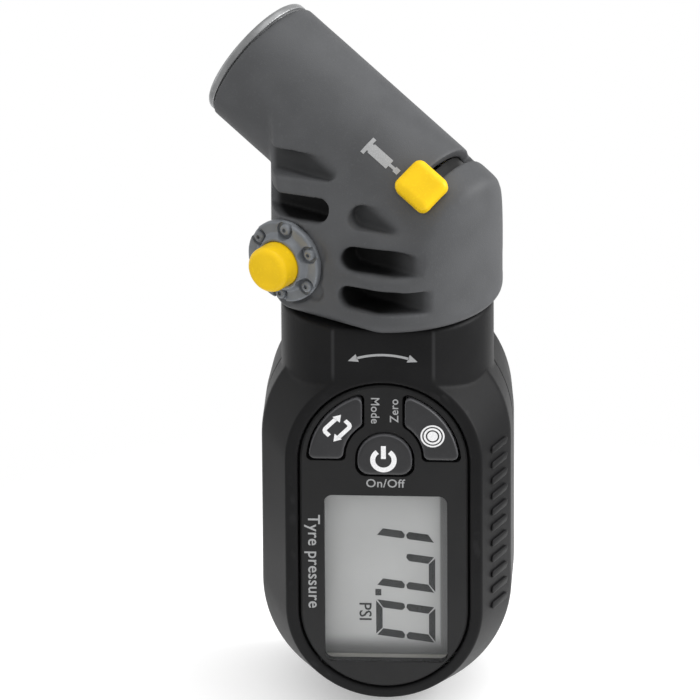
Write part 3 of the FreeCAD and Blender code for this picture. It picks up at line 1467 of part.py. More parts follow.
def main():
    outside = case_outside()
    inside = case_inside()
    export("front_housing", front_housing(outside, inside))
    export("rear_housing", rear_housing(outside, inside))
    export("housing_gasket", housing_gasket())
    export("housing_screws", housing_screws())
    export("display_panel", display_panel())
    export("display_lens", display_lens())
    export("lcd_glass", lcd_glass())
    export("lcd_frame", lcd_frame())
    export("zebra_strip", zebra_strip())
    export("circuit_board", circuit_board())
    export("circuit_components", circuit_components())
    export("key_switches", key_switches())
    export("power_key", power_key())
    export("unit_key", unit_key())
    export("tune_key", tune_key())
    export("pressure_sensor", pressure_sensor())
    export("sensor_seal", sensor_seal())
    export("air_manifold", air_manifold())
    export("battery_cell", battery_cell())
    export("battery_contact_positive", battery_contact_positive())
    export("battery_contact_negative", battery_contact_negative())
    export("battery_door", battery_door())
    export("battery_door_seal", battery_door_seal())
    export("swivel_washer", swivel_washer())
    export("head_shell", to_head(head_shell()))
    export("head_base", to_head(head_base()))
    export("head_base_screws", to_head(head_base_screws()))
    export("head_core", to_head(head_core()))
    export("swivel_stem", to_head(swivel_stem()))
    export("swivel_seals", to_head(swivel_seals()))
    export("swivel_clip", to_head(swivel_clip()))
    export("release_disc", to_head(release_disc()))
    export("release_screws", to_head(release_screws()))
    export("release_button", to_head(release_button()))
    export("release_stem", to_head(release_stem()))
    export("release_seal", to_head(release_seal()))
    export("release_spring", to_head(release_spring()))
    export("chuck_end_ring", to_head(from_chuck(chuck_end_ring())))
    export("chuck_seal", to_head(from_chuck(chuck_seal())))
    export("seal_clamp", to_head(from_chuck(seal_clamp())))
    export("selector_cam", to_head(from_chuck(selector_cam())))
    export("selector_slider", to_head(from_chuck(selector_slider())))
    export("depressor_pin", to_head(from_chuck(depressor_pin())))
    export("pin_spring", to_head(from_chuck(pin_spring())))
    os.makedirs("parts", exist_ok=True)
    origin = chuck_point(SEAL_MOUTH_S - SEAL_ROUND)
    for name, shape in NODES.items():
        placed = shape.copy()
        placed.translate(origin * -1)
        placed.exportStep(os.path.join("parts", name + ".step"))
        print(name, len(placed.Solids), placed.isValid(), round(placed.Volume, 1))


main()
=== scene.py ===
"""Digital tyre pressure gauge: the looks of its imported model.

A grey elbow head with a valve chuck turns on a black housing that holds a display and three keys.
Sizes are in millimetres and are turned into Blender's metres where a piece is placed.
"""

import json
import math

import bmesh
import bpy
import numpy as np
from mathutils import Matrix, Vector

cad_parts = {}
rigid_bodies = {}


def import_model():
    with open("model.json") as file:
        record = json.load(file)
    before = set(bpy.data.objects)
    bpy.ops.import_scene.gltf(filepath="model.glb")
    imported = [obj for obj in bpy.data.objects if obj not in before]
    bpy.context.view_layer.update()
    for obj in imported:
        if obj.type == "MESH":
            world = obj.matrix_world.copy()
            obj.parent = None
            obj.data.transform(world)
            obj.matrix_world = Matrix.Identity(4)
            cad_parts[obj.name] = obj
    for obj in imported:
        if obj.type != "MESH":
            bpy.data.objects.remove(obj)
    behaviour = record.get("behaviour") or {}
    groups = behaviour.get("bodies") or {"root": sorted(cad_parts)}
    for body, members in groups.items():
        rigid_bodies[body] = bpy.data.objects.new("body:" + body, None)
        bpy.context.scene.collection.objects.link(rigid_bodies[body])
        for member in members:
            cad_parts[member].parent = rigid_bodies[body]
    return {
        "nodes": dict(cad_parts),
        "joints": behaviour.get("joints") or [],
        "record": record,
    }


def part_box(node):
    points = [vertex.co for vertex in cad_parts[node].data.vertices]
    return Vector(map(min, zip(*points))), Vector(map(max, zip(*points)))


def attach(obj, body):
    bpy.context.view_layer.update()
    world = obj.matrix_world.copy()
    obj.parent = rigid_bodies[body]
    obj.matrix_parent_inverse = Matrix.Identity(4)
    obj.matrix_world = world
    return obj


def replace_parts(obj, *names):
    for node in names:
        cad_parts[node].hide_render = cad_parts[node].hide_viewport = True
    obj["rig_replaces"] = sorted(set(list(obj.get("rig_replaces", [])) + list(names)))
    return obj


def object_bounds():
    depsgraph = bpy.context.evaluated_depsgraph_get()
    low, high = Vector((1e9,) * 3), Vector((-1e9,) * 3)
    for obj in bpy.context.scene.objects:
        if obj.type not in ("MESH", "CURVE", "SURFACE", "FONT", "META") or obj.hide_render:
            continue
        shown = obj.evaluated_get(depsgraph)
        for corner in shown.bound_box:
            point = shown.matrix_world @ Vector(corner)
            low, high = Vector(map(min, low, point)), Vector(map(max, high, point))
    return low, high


bl_info = {
    "name": "Tyre pressure gauge",
    "version": (1, 0, 0),
    "blender": (4, 5, 0),
    "location": "3D View > Sidebar > Gauge",
    "description": "Moulded edges, finishes, printing and light for the gauge",
    "category": "Object",
}

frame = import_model()
CAD_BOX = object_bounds()
MM = 0.001
NODES = frame["nodes"]
JOINTS = {joint["name"]: joint for joint in frame["joints"]}
BODIES = frame["record"]["behaviour"]["bodies"]
FINISH_OF = {part["node"]: part["material_slot"] for part in frame["record"]["subparts"]}


# Places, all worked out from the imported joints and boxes


class Axes:
    """A local frame in millimetres: a point of the model and three directions at right angles."""

    def __init__(self, origin, across, ahead):
        self.origin = Vector(origin)
        self.across = Vector(across).normalized()
        self.ahead = Vector(ahead).normalized()
        self.up = self.across.cross(self.ahead)

    def place(self, across, ahead, up):
        offset = self.across * across + self.ahead * ahead + self.up * up
        return self.origin + offset * MM

    def local(self, points):
        """Rows of model points, in metres, as rows of local millimetres."""
        basis = np.array([self.across, self.ahead, self.up])
        return (points - np.array(self.origin)) @ basis.T / MM


SWIVEL = Vector(JOINTS["head_swivel"]["pos_m"])
CHUCK_POINT = Vector(JOINTS["selector_turn"]["pos_m"])
CHUCK_LINE = Vector(JOINTS["selector_turn"]["axis"])
RELEASE_LINE = Vector(JOINTS["release_press"]["axis"])
HOUSING = Axes(SWIVEL, (1, 0, 0), (0, 1, 0))
CHUCK = Axes(CHUCK_POINT, CHUCK_LINE, -RELEASE_LINE)
HEAD = Axes(SWIVEL, CHUCK.ahead.cross(Vector((0, 0, 1))), CHUCK.ahead)


def middle_of(node):
    low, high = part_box(node)
    return (Vector(low) + Vector(high)) / 2


def front_of(node):
    """How far in front of the swivel axis a node's foremost face is, as a local y."""
    return (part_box(node)[0].y - SWIVEL.y) / MM


BUTTON = HEAD.local(np.array([middle_of("release_button")]))[0]
RELEASE_ACROSS = BUTTON[0]
RELEASE_UP = BUTTON[2]


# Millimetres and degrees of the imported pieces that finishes, rounding and prints line up with
BARREL_RADIUS = 9.9
BARREL_END = 24.9
DRUM_RADIUS = 16.5
DRUM_FLAT = 14.4
ROOF_FLARE = 27.8
RECESS_RADIUS = 7.6
GROOVE_FLOOR = 9.9
GROOVE_FIRST = 5.2
GROOVE_PITCH = 5.6
GROOVE_HALF = 1.65
COLLAR_FRONT = 13.4
COLLAR_CREASE = 7.17
COLLAR_FOOT = -8.4
RIM_HALF_WIDTH = 14.0
BEVEL_WIDTH = 3.9
BEVEL_DEPTH = 8.4
LENS_RIM = 0.9

# How far the extra rounding reaches from the crown's edge and from the barrel's root
CROWN_REACH = 4.0
ROOT_REACH = 3.5

# What is printed on the gauge or stands out from it
PUMP_PLACE = -0.9
PUMP_ANGLE = 44.9
RIB_PLACE = 5.2
RIB_LENGTH = 4.8
RIB_WIDTH = 1.1
RIB_HEIGHT = 0.3
RIB_PITCH = 2.45
RIB_TOP = -19.6
FIGURE_LEAN = 7.8
FIGURE_WIDTH = 5.6
FIGURE_STROKES = ("bc", "fabc", "abcdef")
STROKE_ALONG = 0.92
STROKE_ACROSS = 1.15
FIRST_FIGURE_Z = -46.9
UNIT_HEIGHT = 1.8
# Words on the panel: name, text, place, quarter turns clockwise, height share
PANEL_WORDS = [
    ("word_mode", "Mode", -1.23, -12.46, 1, 1.0),
    ("word_zero", "Zero", 1.6, -12.46, -1, 1.0),
    ("word_power", "On/Off", 0.2, -23.9, 0, 1.05),
    ("word_pressure", "Tyre pressure", -10.1, -36.3, 1, 1.42),
]

# Point in the housing's frame that the camera looks at
LOOK_AT = (-5.21, -3.60, -7.46)
# Each lamp: direction from the gauge, distance, width and height in metres, watts
LAMPS = {
    "lamp_right": ((1.0, 0.1, 0.35), 0.55, (0.25, 0.5), 2.4),
    "lamp_above": ((0.3, 0.1, 1.0), 0.6, (0.5, 0.4), 0.7),
    "lamp_left": ((-1.0, 0.35, 0.1), 0.6, (0.12, 0.5), 0.4),
}
# The floor: half its width in metres, and between which millimetres from the gauge it fades out
FLOOR_HALF_WIDTH = 1.6
FLOOR_FADE = (45, 90)


# Sizes and colours that a user would change


def length_property(name, description, default, low, high):
    """A length that a user can change."""
    return bpy.props.FloatProperty(
        name=name, description=f"{description}, in millimetres", default=default, min=low, max=high
    )


def colour_property(name, description, default):
    """A colour that a user can change."""
    return bpy.props.FloatVectorProperty(
        name=name, description=description, subtype="COLOR", default=default, min=0, max=1
    )


class GaugeMoulding(bpy.types.PropertyGroup):
    """How soft the moulded edges are and how fine their surface is."""

    head_cell: length_property(
        "Head cell", "Size of the grid on which the head is rounded", 0.24, 0.1, 1.0
    )
    head_passes: bpy.props.IntProperty(
        name="Head rounding",
        description="Passes of rounding over the whole head",
        default=8,
        min=0,
        max=200,
    )
    crown_passes: bpy.props.IntProperty(
        name="Crown rounding",
        description="More passes along the edge where the roof meets the back of the head",
        default=140,
        min=0,
        max=400,
    )
    root_passes: bpy.props.IntProperty(
        name="Barrel root rounding",
        description="More passes where the barrel leaves the head",
        default=60,
        min=0,
        max=400,
    )
    housing_cell: length_property(
        "Housing cell", "Size of the grid on which the housing is rounded", 0.22, 0.1, 1.0
    )
    housing_passes: bpy.props.IntProperty(
        name="Housing rounding",
        description="Passes of rounding over the housing",
        default=4,
        min=0,
        max=100,
    )
    small_cell: length_property(
        "Small part cell", "Size of the grid for keys, disc, button and slider", 0.12, 0.05, 0.5
    )
    grain_size: length_property("Grain size", "Width of the fine moulded texture", 0.16, 0.02, 1.0)


class GaugePrinting(bpy.types.PropertyGroup):
    """Pictures, words and figures printed on the gauge."""

    film: length_property("Film", "How far printing stands off its surface", 0.03, 0.01, 0.2)
    word_height: length_property(
        "Word height", "Height of a capital letter by the keys", 1.25, 0.5, 3.0
    )
    figure_height: length_property(
        "Figure height", "Height of the figures on the display", 8.5, 4.0, 12.0
    )
    figure_pitch: length_property(
        "Figure pitch", "Distance from one figure to the next", 7.9, 4.0, 12.0
    )
    rib_count: bpy.props.IntProperty(
        name="Grip ribs",
        description="Raised ribs on the right-hand bevel",
        default=11,
        min=0,
        max=40,
    )


class GaugeColours(bpy.types.PropertyGroup):
    """Colours of the visible parts, as linear values."""

    head: colour_property("Head", "Moulded grey of the elbow head", (0.083, 0.085, 0.089))
    housing: colour_property("Housing", "Satin black of the housing", (0.014, 0.014, 0.0145))
    panel: colour_property("Panel", "Black of the display panel", (0.016, 0.016, 0.0165))
    keys: colour_property("Keys", "Dark grey of the three keys", (0.035, 0.035, 0.037))
    button: colour_property(
        "Button", "Yellow of the release button and the slider", (0.86, 0.55, 0.008)
    )
    disc: colour_property("Disc", "Painted metal of the release disc", (0.24, 0.255, 0.275))
    ring: colour_property("Ring", "Satin metal of the chuck's end ring", (0.42, 0.425, 0.43))
    display: colour_property(
        "Display", "Grey of the display where nothing shows", (0.45, 0.455, 0.452)
    )
    figures: colour_property("Figures", "Dark grey of the display's figures", (0.03, 0.031, 0.031))
    print_white: colour_property("Key print", "White print on the keys", (0.94, 0.94, 0.95))
    print_grey: colour_property(
        "Grey print", "Light grey print on the head, the collar and the panel", (0.4, 0.405, 0.41)
    )


class GaugeStage(bpy.types.PropertyGroup):
    """Camera, floor and light."""

    distance: bpy.props.FloatProperty(
        name="Camera distance",
        description="From the gauge to the camera",
        subtype="DISTANCE",
        default=1.9,
        min=0.3,
        max=5.0,
    )
    view_width: length_property(
        "View width", "Width of the picture where the gauge stands", 100.0, 20.0, 500.0
    )
    turn: bpy.props.FloatProperty(
        name="Turn",
        description="How far the camera stands round to the right, in degrees",
        default=3.0,
        min=-90,
        max=90,
    )
    rise: bpy.props.FloatProperty(
        name="Rise",
        description="How far the camera stands above the level, in degrees",
        default=24.0,
        min=-10,
        max=80,
    )
    roll: bpy.props.FloatProperty(
        name="Roll",
        description="Lean of the camera to the right, in degrees",
        default=0.35,
        min=-10,
        max=10,
    )
    sky: bpy.props.FloatProperty(
        name="Sky",
        description="Strength of the even light from all round",
        default=0.93,
        min=0,
        max=2,
    )
    room: bpy.props.FloatProperty(
        name="Room",
        description="Strength of the dim room that shiny surfaces show from in front",
        default=0.2,
        min=0,
        max=1,
    )
    floor_white: bpy.props.FloatProperty(
        name="Floor white",
        description="What the camera sees on top of the floor's own lit colour",
        default=0.3,
        min=0,
        max=1,
    )


# Shader maths: a socket that can be added, multiplied and compared


class Shade:
    """A value or colour in one finish's node tree."""

    def __init__(self, finish, socket):
        self.finish = finish
        self.socket = socket

    def maths(self, operation, *values):
        return self.finish.node("ShaderNodeMath", {"operation": operation}, dict(enumerate(values)))

    def __add__(self, other):
        return self.maths("ADD", self, other)

    def __radd__(self, other):
        return self.maths("ADD", other, self)

    def __sub__(self, other):
        return self.maths("SUBTRACT", self, other)

    def __rsub__(self, other):
        return self.maths("SUBTRACT", other, self)

    def __mul__(self, other):
        return self.maths("MULTIPLY", self, other)

    def __rmul__(self, other):
        return self.maths("MULTIPLY", other, self)

    def __truediv__(self, other):
        return self.maths("DIVIDE", self, other)

    def __neg__(self):
        return self.maths("MULTIPLY", self, -1.0)

    def __abs__(self):
        return self.maths("ABSOLUTE", self)

    def root(self):
        return self.maths("SQRT", self)

    def between(self, low, high):
        """0 at low, 1 at high, and smooth in between."""
        settings = {"interpolation_type": "SMOOTHSTEP"}
        sockets = {"Value": self, "From Min": low, "From Max": high}
        return self.finish.node("ShaderNodeMapRange", settings, sockets)


class Nodes:
    """A node tree to which every node is added in one way."""

    def __init__(self, tree):
        self.tree = tree

    def node(self, kind, settings=None, sockets=None, output=0):
        """Adds a node: its settings first, then values or links on its sockets."""
        made = self.tree.nodes.new(kind)
        for key, value in (settings or {}).items():
            if key == "stops":
                ramp = made.color_ramp
                while len(ramp.elements) < len(value):
                    ramp.elements.new(0.5)
                for element, (position, colour) in zip(ramp.elements, value):
                    element.position = position
                    element.color = colour
            else:
                setattr(made, key, value)
        for key, value in (sockets or {}).items():
            if isinstance(value, Shade):
                self.tree.links.new(value.socket, made.inputs[key])
            else:
                made.inputs[key].default_value = value
        return Shade(self, made.outputs[output])

    def seen(self, *kinds):
        """1 for rays of the given kinds, such as Camera or Glossy, else 0."""
        rays = [self.node("ShaderNodeLightPath", output=f"Is {kind} Ray") for kind in kinds]
        most = rays[0]
        for ray in rays[1:]:
            most = most.maths("MAXIMUM", most, ray)
        return most


class Finish(Nodes):
    """A procedural material built on one Principled shader."""

    def __init__(self, name, **constants):
        self.material = bpy.data.materials.new(name)
        self.material.use_nodes = True
        super().__init__(self.material.node_tree)
        self.shader = self.tree.nodes["Principled BSDF"]
        for socket, value in constants.items():
            self.shader.inputs[socket.replace("_", " ")].default_value = value

    def feed(self, socket, value):
        self.tree.links.new(value.socket, self.shader.inputs[socket])

    def place(self):
        """Position on the model at rest, in metres."""
        return self.node("ShaderNodeTexCoord", output="Object")

    def along(self, axes, direction):
        """Distance in millimetres from a local frame's origin along one of its directions."""
        line = Vector(direction)
        settings = {"operation": "DOT_PRODUCT"}
        dot = self.node("ShaderNodeVectorMath", settings, {0: self.place(), 1: line}, 1)
        return (dot - axes.origin.dot(line)) / MM

    def noise(self, width_mm, detail=2.0, roughness=0.5, stretch=(1, 1, 1)):
        """Cloudy noise from 0 to 1 with features of the given width."""
        stretched = {"Vector": self.place(), "Scale": stretch}
        scaled = self.node("ShaderNodeMapping", {"vector_type": "TEXTURE"}, stretched)
        sockets = {"Vector": scaled, "Scale": 1 / (width_mm * MM)}
        sockets.update({"Detail": detail, "Roughness": roughness})
        return self.node("ShaderNodeTexNoise", {"noise_dimensions": "3D"}, sockets)

    def cells(self, width_mm, output="Distance"):
        sockets = {"Vector": self.place(), "Scale": 1 / (width_mm * MM)}
        return self.node("ShaderNodeTexVoronoi", {"feature": "F1"}, sockets, output)

    def mix(self, factor, first, second):
        """A colour between two colours."""
        made = self.node("ShaderNodeMix", {"data_type": "RGBA"}, {}, 2)
        mixer = made.socket.node
        for index, value in ((0, factor), (6, first), (7, second)):
            if isinstance(value, Shade):
                self.tree.links.new(value.socket, mixer.inputs[index])
            elif index == 0:
                mixer.inputs[index].default_value = value
            else:
                mixer.inputs[index].default_value = (*value[:3], 1.0)
        return made

    def bump(self, height, depth_mm, strength=1.0, under=None):
        sockets = {"Height": height, "Distance": depth_mm * MM, "Strength": strength}
        if under is not None:
            sockets["Normal"] = under
        return self.node("ShaderNodeBump", {}, sockets)

    def edge(self, low=0.52, high=0.62):
        """1 on outer edges, from the mesh's own curvature."""
        return self.node("ShaderNodeNewGeometry", output="Pointiness").between(low, high)


def tinted(colour, share):
    return tuple(min(1.0, channel * share) for channel in colour)


def grained(finish, colour, grain_mm):
    """The clouds, the specks and the tone that moulded plastic has from them."""
    cloud = finish.noise(6.0, 3.0)
    speck = finish.noise(grain_mm * 2.2, 1.0)
    tone = finish.mix(cloud.between(0.3, 0.7), tinted(colour, 0.93), tinted(colour, 1.06))
    tone = finish.mix(speck.between(0.55, 0.8) * 0.35, tone, tinted(colour, 1.3))
    return cloud, speck, tone


def moulded(name, colour, roughness, grain_mm, depth_mm, wear=1.35, specular=0.35, lines=None):
    """Moulded plastic: fine grain, cloudy gloss, slightly rubbed edges and any painted highlight
    lines.
    """
    finish = Finish(name, Specular_IOR_Level=specular)
    cloud, speck, tone = grained(finish, colour, grain_mm)
    rubbed = finish.edge() * finish.noise(1.3).between(0.3, 0.75)
    tone = finish.mix(rubbed, tone, tinted(colour, wear))
    # Painted highlight: the given lines are made four times as light as the colour
    if lines:
        tone = finish.mix(lines(finish), tone, tinted(colour, 4.0))
    finish.feed("Base Color", tone)
    finish.feed("Roughness", cloud * 0.08 + speck * 0.06 + (roughness - 0.07))
    finish.feed("Normal", finish.bump(finish.noise(grain_mm, 2.0, 0.6), depth_mm))
    return finish.material


def painted_crease_highlights(finish):
    """Painted highlight where the collar's flat front meets its round sides."""
    from_crease = abs(abs(finish.along(HOUSING, HOUSING.across)) - COLLAR_CREASE)
    near = (1 - from_crease.between(0.05, 0.4)) * 0.45
    ahead = finish.along(HOUSING, HOUSING.ahead)
    on_front = 1 - (ahead + COLLAR_FRONT).between(0.1, 0.5)
    above_foot = finish.along(HOUSING, HOUSING.up).between(COLLAR_FOOT, COLLAR_FOOT + 1.8)
    return near * on_front * above_foot


def painted_key_highlights(finish):
    """Painted highlight on the rounded shoulder of each key."""
    behind_face = finish.along(HOUSING, HOUSING.ahead) - front_of("power_key")
    return behind_face.between(0.06, 0.25) * 0.8


def painted_groove_shade(finish):
    """How much painted shade darkens the head inside its side grooves, from 0 to 1.

    The grooves lie in rows, two of them shallow, in the drum's flanks and under its sloping roof.
    """
    across = finish.along(HEAD, HEAD.across)
    ahead = finish.along(HEAD, HEAD.ahead)
    height = finish.along(HEAD, HEAD.up)
    from_axis = (across * across + ahead * ahead).root()
    round_depth = DRUM_RADIUS - from_axis
    side_depth = round_depth.maths("MINIMUM", round_depth, DRUM_FLAT - abs(ahead))
    flare = math.radians(ROOF_FLARE)
    above_chuck = finish.along(CHUCK, CHUCK.up)
    roof_depth = BARREL_RADIUS - (abs(ahead) * math.cos(flare) + above_chuck * math.sin(flare))
    depth = side_depth.maths("MINIMUM", side_depth, roof_depth)
    row = (height - GROOVE_FIRST) / GROOVE_PITCH
    upper = row + 0.5
    from_row = abs(upper.maths("FRACT", upper) - 0.5) * GROOVE_PITCH
    in_row = 1 - from_row.between(GROOVE_HALF + 0.1, GROOVE_HALF + 0.35)
    front = across.between(0.2, 0.8) * row.between(1.4, 1.6) * (1 - row.between(3.4, 3.6))
    rear = (-across).between(0.3, 0.9) * (1 - row.between(2.4, 2.6))
    inner = GROOVE_FLOOR - 0.6 - (1 - row.between(0.4, 0.6))
    flank = (abs(ahead) - inner).between(0.0, 0.3)
    shallow = front * row.between(2.4, 2.6) + rear * row.between(1.4, 1.6)
    at_floor = 1 - abs(ahead).between(GROOVE_FLOOR + 0.3, GROOVE_FLOOR + 1.4)
    # Less painted shade towards the grooves' open rear ends, where their lower walls catch light
    mouth = 1 - (-across).between(7.0, 12.5) * 0.55
    # Painted shade: the deep open grooves go almost black, and the floors of the shallow ones
    # darken part way
    painted_open_shade = (1 - shallow) * mouth * depth.between(0.45, 1.6) * 0.95
    painted_floor_shade = shallow * at_floor * depth.between(0.2, 1.0) * 0.6
    return flank * in_row * (front + rear) * (painted_open_shade + painted_floor_shade)


def head_finish(colour, grain_mm):
    """Grey moulding with a fine grain and painted shade inside its side grooves."""
    finish = Finish("head_grey", Specular_IOR_Level=0.35)
    cloud, speck, tone = grained(finish, colour, grain_mm)
    # Painted shade darkens the grooves towards near black
    finish.feed("Base Color", finish.mix(painted_groove_shade(finish), tone, (0.004, 0.004, 0.004)))
    finish.feed("Roughness", cloud * 0.08 + speck * 0.06 + 0.49)
    finish.feed("Normal", finish.bump(finish.noise(grain_mm, 2.0, 0.6), 0.022))
    return finish.material


def panel_finish(colour):
    """Fine matt black of the display panel."""
    finish = Finish("panel_black", Specular_IOR_Level=0.3)
    cloud = finish.noise(7.0, 3.0)
    speck = finish.noise(0.22, 1.0)
    tone = finish.mix(cloud.between(0.3, 0.7), tinted(colour, 0.92), tinted(colour, 1.08))
    finish.feed("Base Color", finish.mix(speck.between(0.55, 0.8) * 0.3, tone, tinted(colour, 1.5)))
    finish.feed("Roughness", cloud * 0.06 + speck * 0.08 + 0.45)
    finish.feed("Normal", finish.bump(finish.noise(0.1, 2.0, 0.6), 0.014))
    return finish.material


def turned_metal(name, colour, roughness, metallic=1.0, line_mm=0.25):
    """Machined metal: fine turning lines, small dents and a worn edge."""
    finish = Finish(name, Metallic=metallic)
    cloud = finish.noise(2.5, 3.0)
    line = finish.noise(line_mm, 2.0, 0.6, (1.0, 1.0, 6.0))
    tone = finish.mix(cloud.between(0.3, 0.75), tinted(colour, 0.86), tinted(colour, 1.08))
    tone = finish.mix(finish.edge() * 0.6, tone, tinted(colour, 1.35))
    finish.feed("Base Color", tone)
    finish.feed("Roughness", cloud * 0.1 + line * 0.12 + (roughness - 0.11))
    finish.feed("Normal", finish.bump(line, 0.008))
    return finish.material


def rubber(name, colour):
    finish = Finish(name, Specular_IOR_Level=0.35)
    bloom = finish.noise(1.8, 4.0)
    finish.feed("Base Color", finish.mix(bloom.between(0.45, 0.8), colour, tinted(colour, 1.9)))
    finish.feed("Roughness", bloom * 0.15 + 0.68)
    finish.feed("Normal", finish.bump(finish.noise(0.12, 2.0), 0.01))
    return finish.material


def printed(name, colour):
    """Pad print: thin matt ink of a slightly uneven tone."""
    finish = Finish(name, Specular_IOR_Level=0.3)
    ink = finish.noise(0.14, 2.0)
    tone = finish.mix(ink.between(0.35, 0.75), tinted(colour, 0.86), tinted(colour, 1.06))
    finish.feed("Base Color", tone)
    finish.feed("Roughness", ink * 0.15 + 0.5)
    finish.feed("Normal", finish.bump(ink, 0.004))
    return finish.material


def board_finish():
    """Solder mask with darker copper tracks under it and tin on the pads."""
    finish = Finish("board_mask", Specular_IOR_Level=0.5)
    turned = {"Vector": finish.place(), "Rotation": (math.pi / 2, 0, 0)}
    flat = finish.node("ShaderNodeMapping", {}, turned)
    bricks = {"Vector": flat, "Scale": 1 / (2.6 * MM), "Mortar Size": 0.06}
    tracks = finish.node("ShaderNodeTexBrick", {"offset": 0.5}, bricks, "Fac")
    pads = 1 - finish.cells(1.9).between(0.16, 0.2)
    tone = finish.mix(tracks, (0.008, 0.075, 0.03), (0.02, 0.16, 0.065))
    finish.feed("Base Color", finish.mix(pads, tone, (0.62, 0.6, 0.55)))
    finish.feed("Metallic", pads * 0.9)
    finish.feed("Roughness", 0.42 - pads * 0.12)
    finish.feed("Normal", finish.bump(tracks + pads, 0.03))
    return finish.material


def display_finish(colour):
    """Display cell: even grey, darker in a band at its right-hand edge and with painted shade
    towards its lower edge.
    """
    finish = Finish("display_cell", Specular_IOR_Level=0.3)
    right = (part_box("display_lens")[1].x - SWIVEL.x) / MM - LENS_RIM
    side = finish.along(HOUSING, HOUSING.across).between(right - 1.35, right - 0.95)
    foot_line = (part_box("lcd_glass")[0].z - SWIVEL.z) / MM
    painted_foot_shade = 1 - finish.along(HOUSING, HOUSING.up).between(foot_line + 0.6, foot_line + 3.5)
    shade = side.maths("MAXIMUM", side, painted_foot_shade)
    cloud = finish.noise(9.0, 1.0)
    tone = finish.mix(cloud.between(0.3, 0.7), tinted(colour, 0.97), tinted(colour, 1.03))
    # Painted shade at the foot, and a darker band at the right-hand edge, take the grey down to
    # under a third
    finish.feed("Base Color", finish.mix(shade * 0.85, tone, tinted(colour, 0.3)))
    finish.feed("Roughness", finish.noise(0.1) * 0.1 + 0.4)
    return finish.material


def window_finish():
    """Clear window: see-through, with a faint haze."""
    finish = Finish("window_clear", Specular_IOR_Level=0.5, Roughness=0.08)
    haze = finish.noise(4.0, 3.0).between(0.3, 0.8)
    finish.feed("Base Color", finish.mix(haze, (0.55, 0.57, 0.58), (0.7, 0.72, 0.73)))
    finish.feed("Alpha", haze * 0.015 + 0.02)
    finish.feed("Normal", finish.bump(finish.noise(5.0, 2.0), 0.01))
    finish.material.use_transparent_shadow = True
    return finish.material


def make_finishes(colours):
    """One procedural material for each slot of the record, and those of the printing."""
    grain = bpy.context.scene.gauge_moulding.grain_size
    return {
        "head_grey": head_finish(colours.head, grain),
        "ring_metal": turned_metal("ring_metal", colours.ring, 0.42, 0.6),
        "seal_rubber": rubber("seal_rubber", (0.014, 0.014, 0.014)),
        "core_brass": turned_metal("core_brass", (0.55, 0.36, 0.13), 0.3),
        "disc_metal": turned_metal("disc_metal", colours.disc, 0.46, 0.35, 0.18),
        "screw_steel": turned_metal("screw_steel", (0.32, 0.325, 0.335), 0.32),
        "button_yellow": moulded("button_yellow", colours.button, 0.36, grain, 0.006, 1.12, 0.2),
        "spring_steel": turned_metal("spring_steel", (0.5, 0.5, 0.49), 0.25),
        "inner_plastic": moulded("inner_plastic", (0.5, 0.49, 0.46), 0.5, grain, 0.01, 1.1),
        "washer_plastic": moulded("washer_plastic", (0.02, 0.02, 0.02), 0.4, grain, 0.008),
        "housing_black": moulded(
            "housing_black", colours.housing, 0.42, grain, 0.012, 1.5, 0.1, painted_crease_highlights
        ),
        "panel_black": panel_finish(colours.panel),
        "key_black": moulded(
            "key_black", colours.keys, 0.34, grain, 0.006, 1.8, 0.5, painted_key_highlights
        ),
        "lens_clear": window_finish(),
        "lcd_grey": display_finish(colours.display),
        "zebra_rubber": rubber("zebra_rubber", (0.2, 0.2, 0.2)),
        "board_green": board_finish(),
        "component_black": moulded("component_black", (0.018, 0.018, 0.018), 0.5, 0.1, 0.01),
        "sensor_metal": turned_metal("sensor_metal", (0.5, 0.5, 0.5), 0.35),
        "cell_steel": turned_metal("cell_steel", (0.62, 0.62, 0.61), 0.28),
        "contact_metal": turned_metal("contact_metal", (0.7, 0.58, 0.3), 0.3),
        "print_white": printed("print_white", colours.print_white),
        "print_grey": printed("print_grey", colours.print_grey),
        "figure_dark": printed("figure_dark", colours.figures),
    }


FINISHES = {}


def finish_named(name):
    if not FINISHES:
        FINISHES.update(make_finishes(bpy.context.scene.gauge_colours))
    return FINISHES[name]


# Pieces


def body_of(node):
    return next(body for body, members in BODIES.items() if node in members)


def paint_node(node, name=None):
    """Gives a CAD node that stays in view its material."""
    thing = NODES[node]
    material = finish_named(name or FINISH_OF[node])
    if not thing.material_slots:
        thing.data.materials.append(material)
    for slot in thing.material_slots:
        slot.material = material


def add_mesh(name, mesh):
    thing = bpy.data.objects.new(name, mesh)
    bpy.context.scene.collection.objects.link(thing)
    return thing


def settled(thing):
    """A plain mesh with a thing's modifiers worked in."""
    graph = bpy.context.evaluated_depsgraph_get()
    return bpy.data.meshes.new_from_object(thing.evaluated_get(graph))


def points_of(mesh):
    points = np.zeros(len(mesh.vertices) * 3, np.float32)
    mesh.vertices.foreach_get("co", points)
    return points.reshape(-1, 3).astype(float)


def worked(thing, kind, **settings):
    """Runs one modifier over a thing and keeps the result."""
    modifier = thing.modifiers.new(kind.lower(), kind)
    for key, value in settings.items():
        setattr(modifier, key, value)
    old = thing.data
    made = settled(thing)
    thing.modifiers.clear()
    thing.data = made
    bpy.data.meshes.remove(old)


def smoothed(thing, passes, share_of=None, factor=0.5):
    """Rounds edges; share_of gives each point's share of the rounding, from 0 to 1."""
    group = ""
    if share_of is not None:
        shares = np.clip(share_of(points_of(thing.data)), 0, 1)
        levels = np.round(shares * 10).astype(int)
        group = "soft"
        holder = thing.vertex_groups.new(name=group)
        for level in range(1, 11):
            chosen = np.nonzero(levels == level)[0]
            if len(chosen):
                holder.add(chosen.tolist(), level / 10, "REPLACE")
    worked(thing, "SMOOTH", iterations=passes, factor=factor, vertex_group=group)
    if share_of is not None:
        thing.vertex_groups.clear()


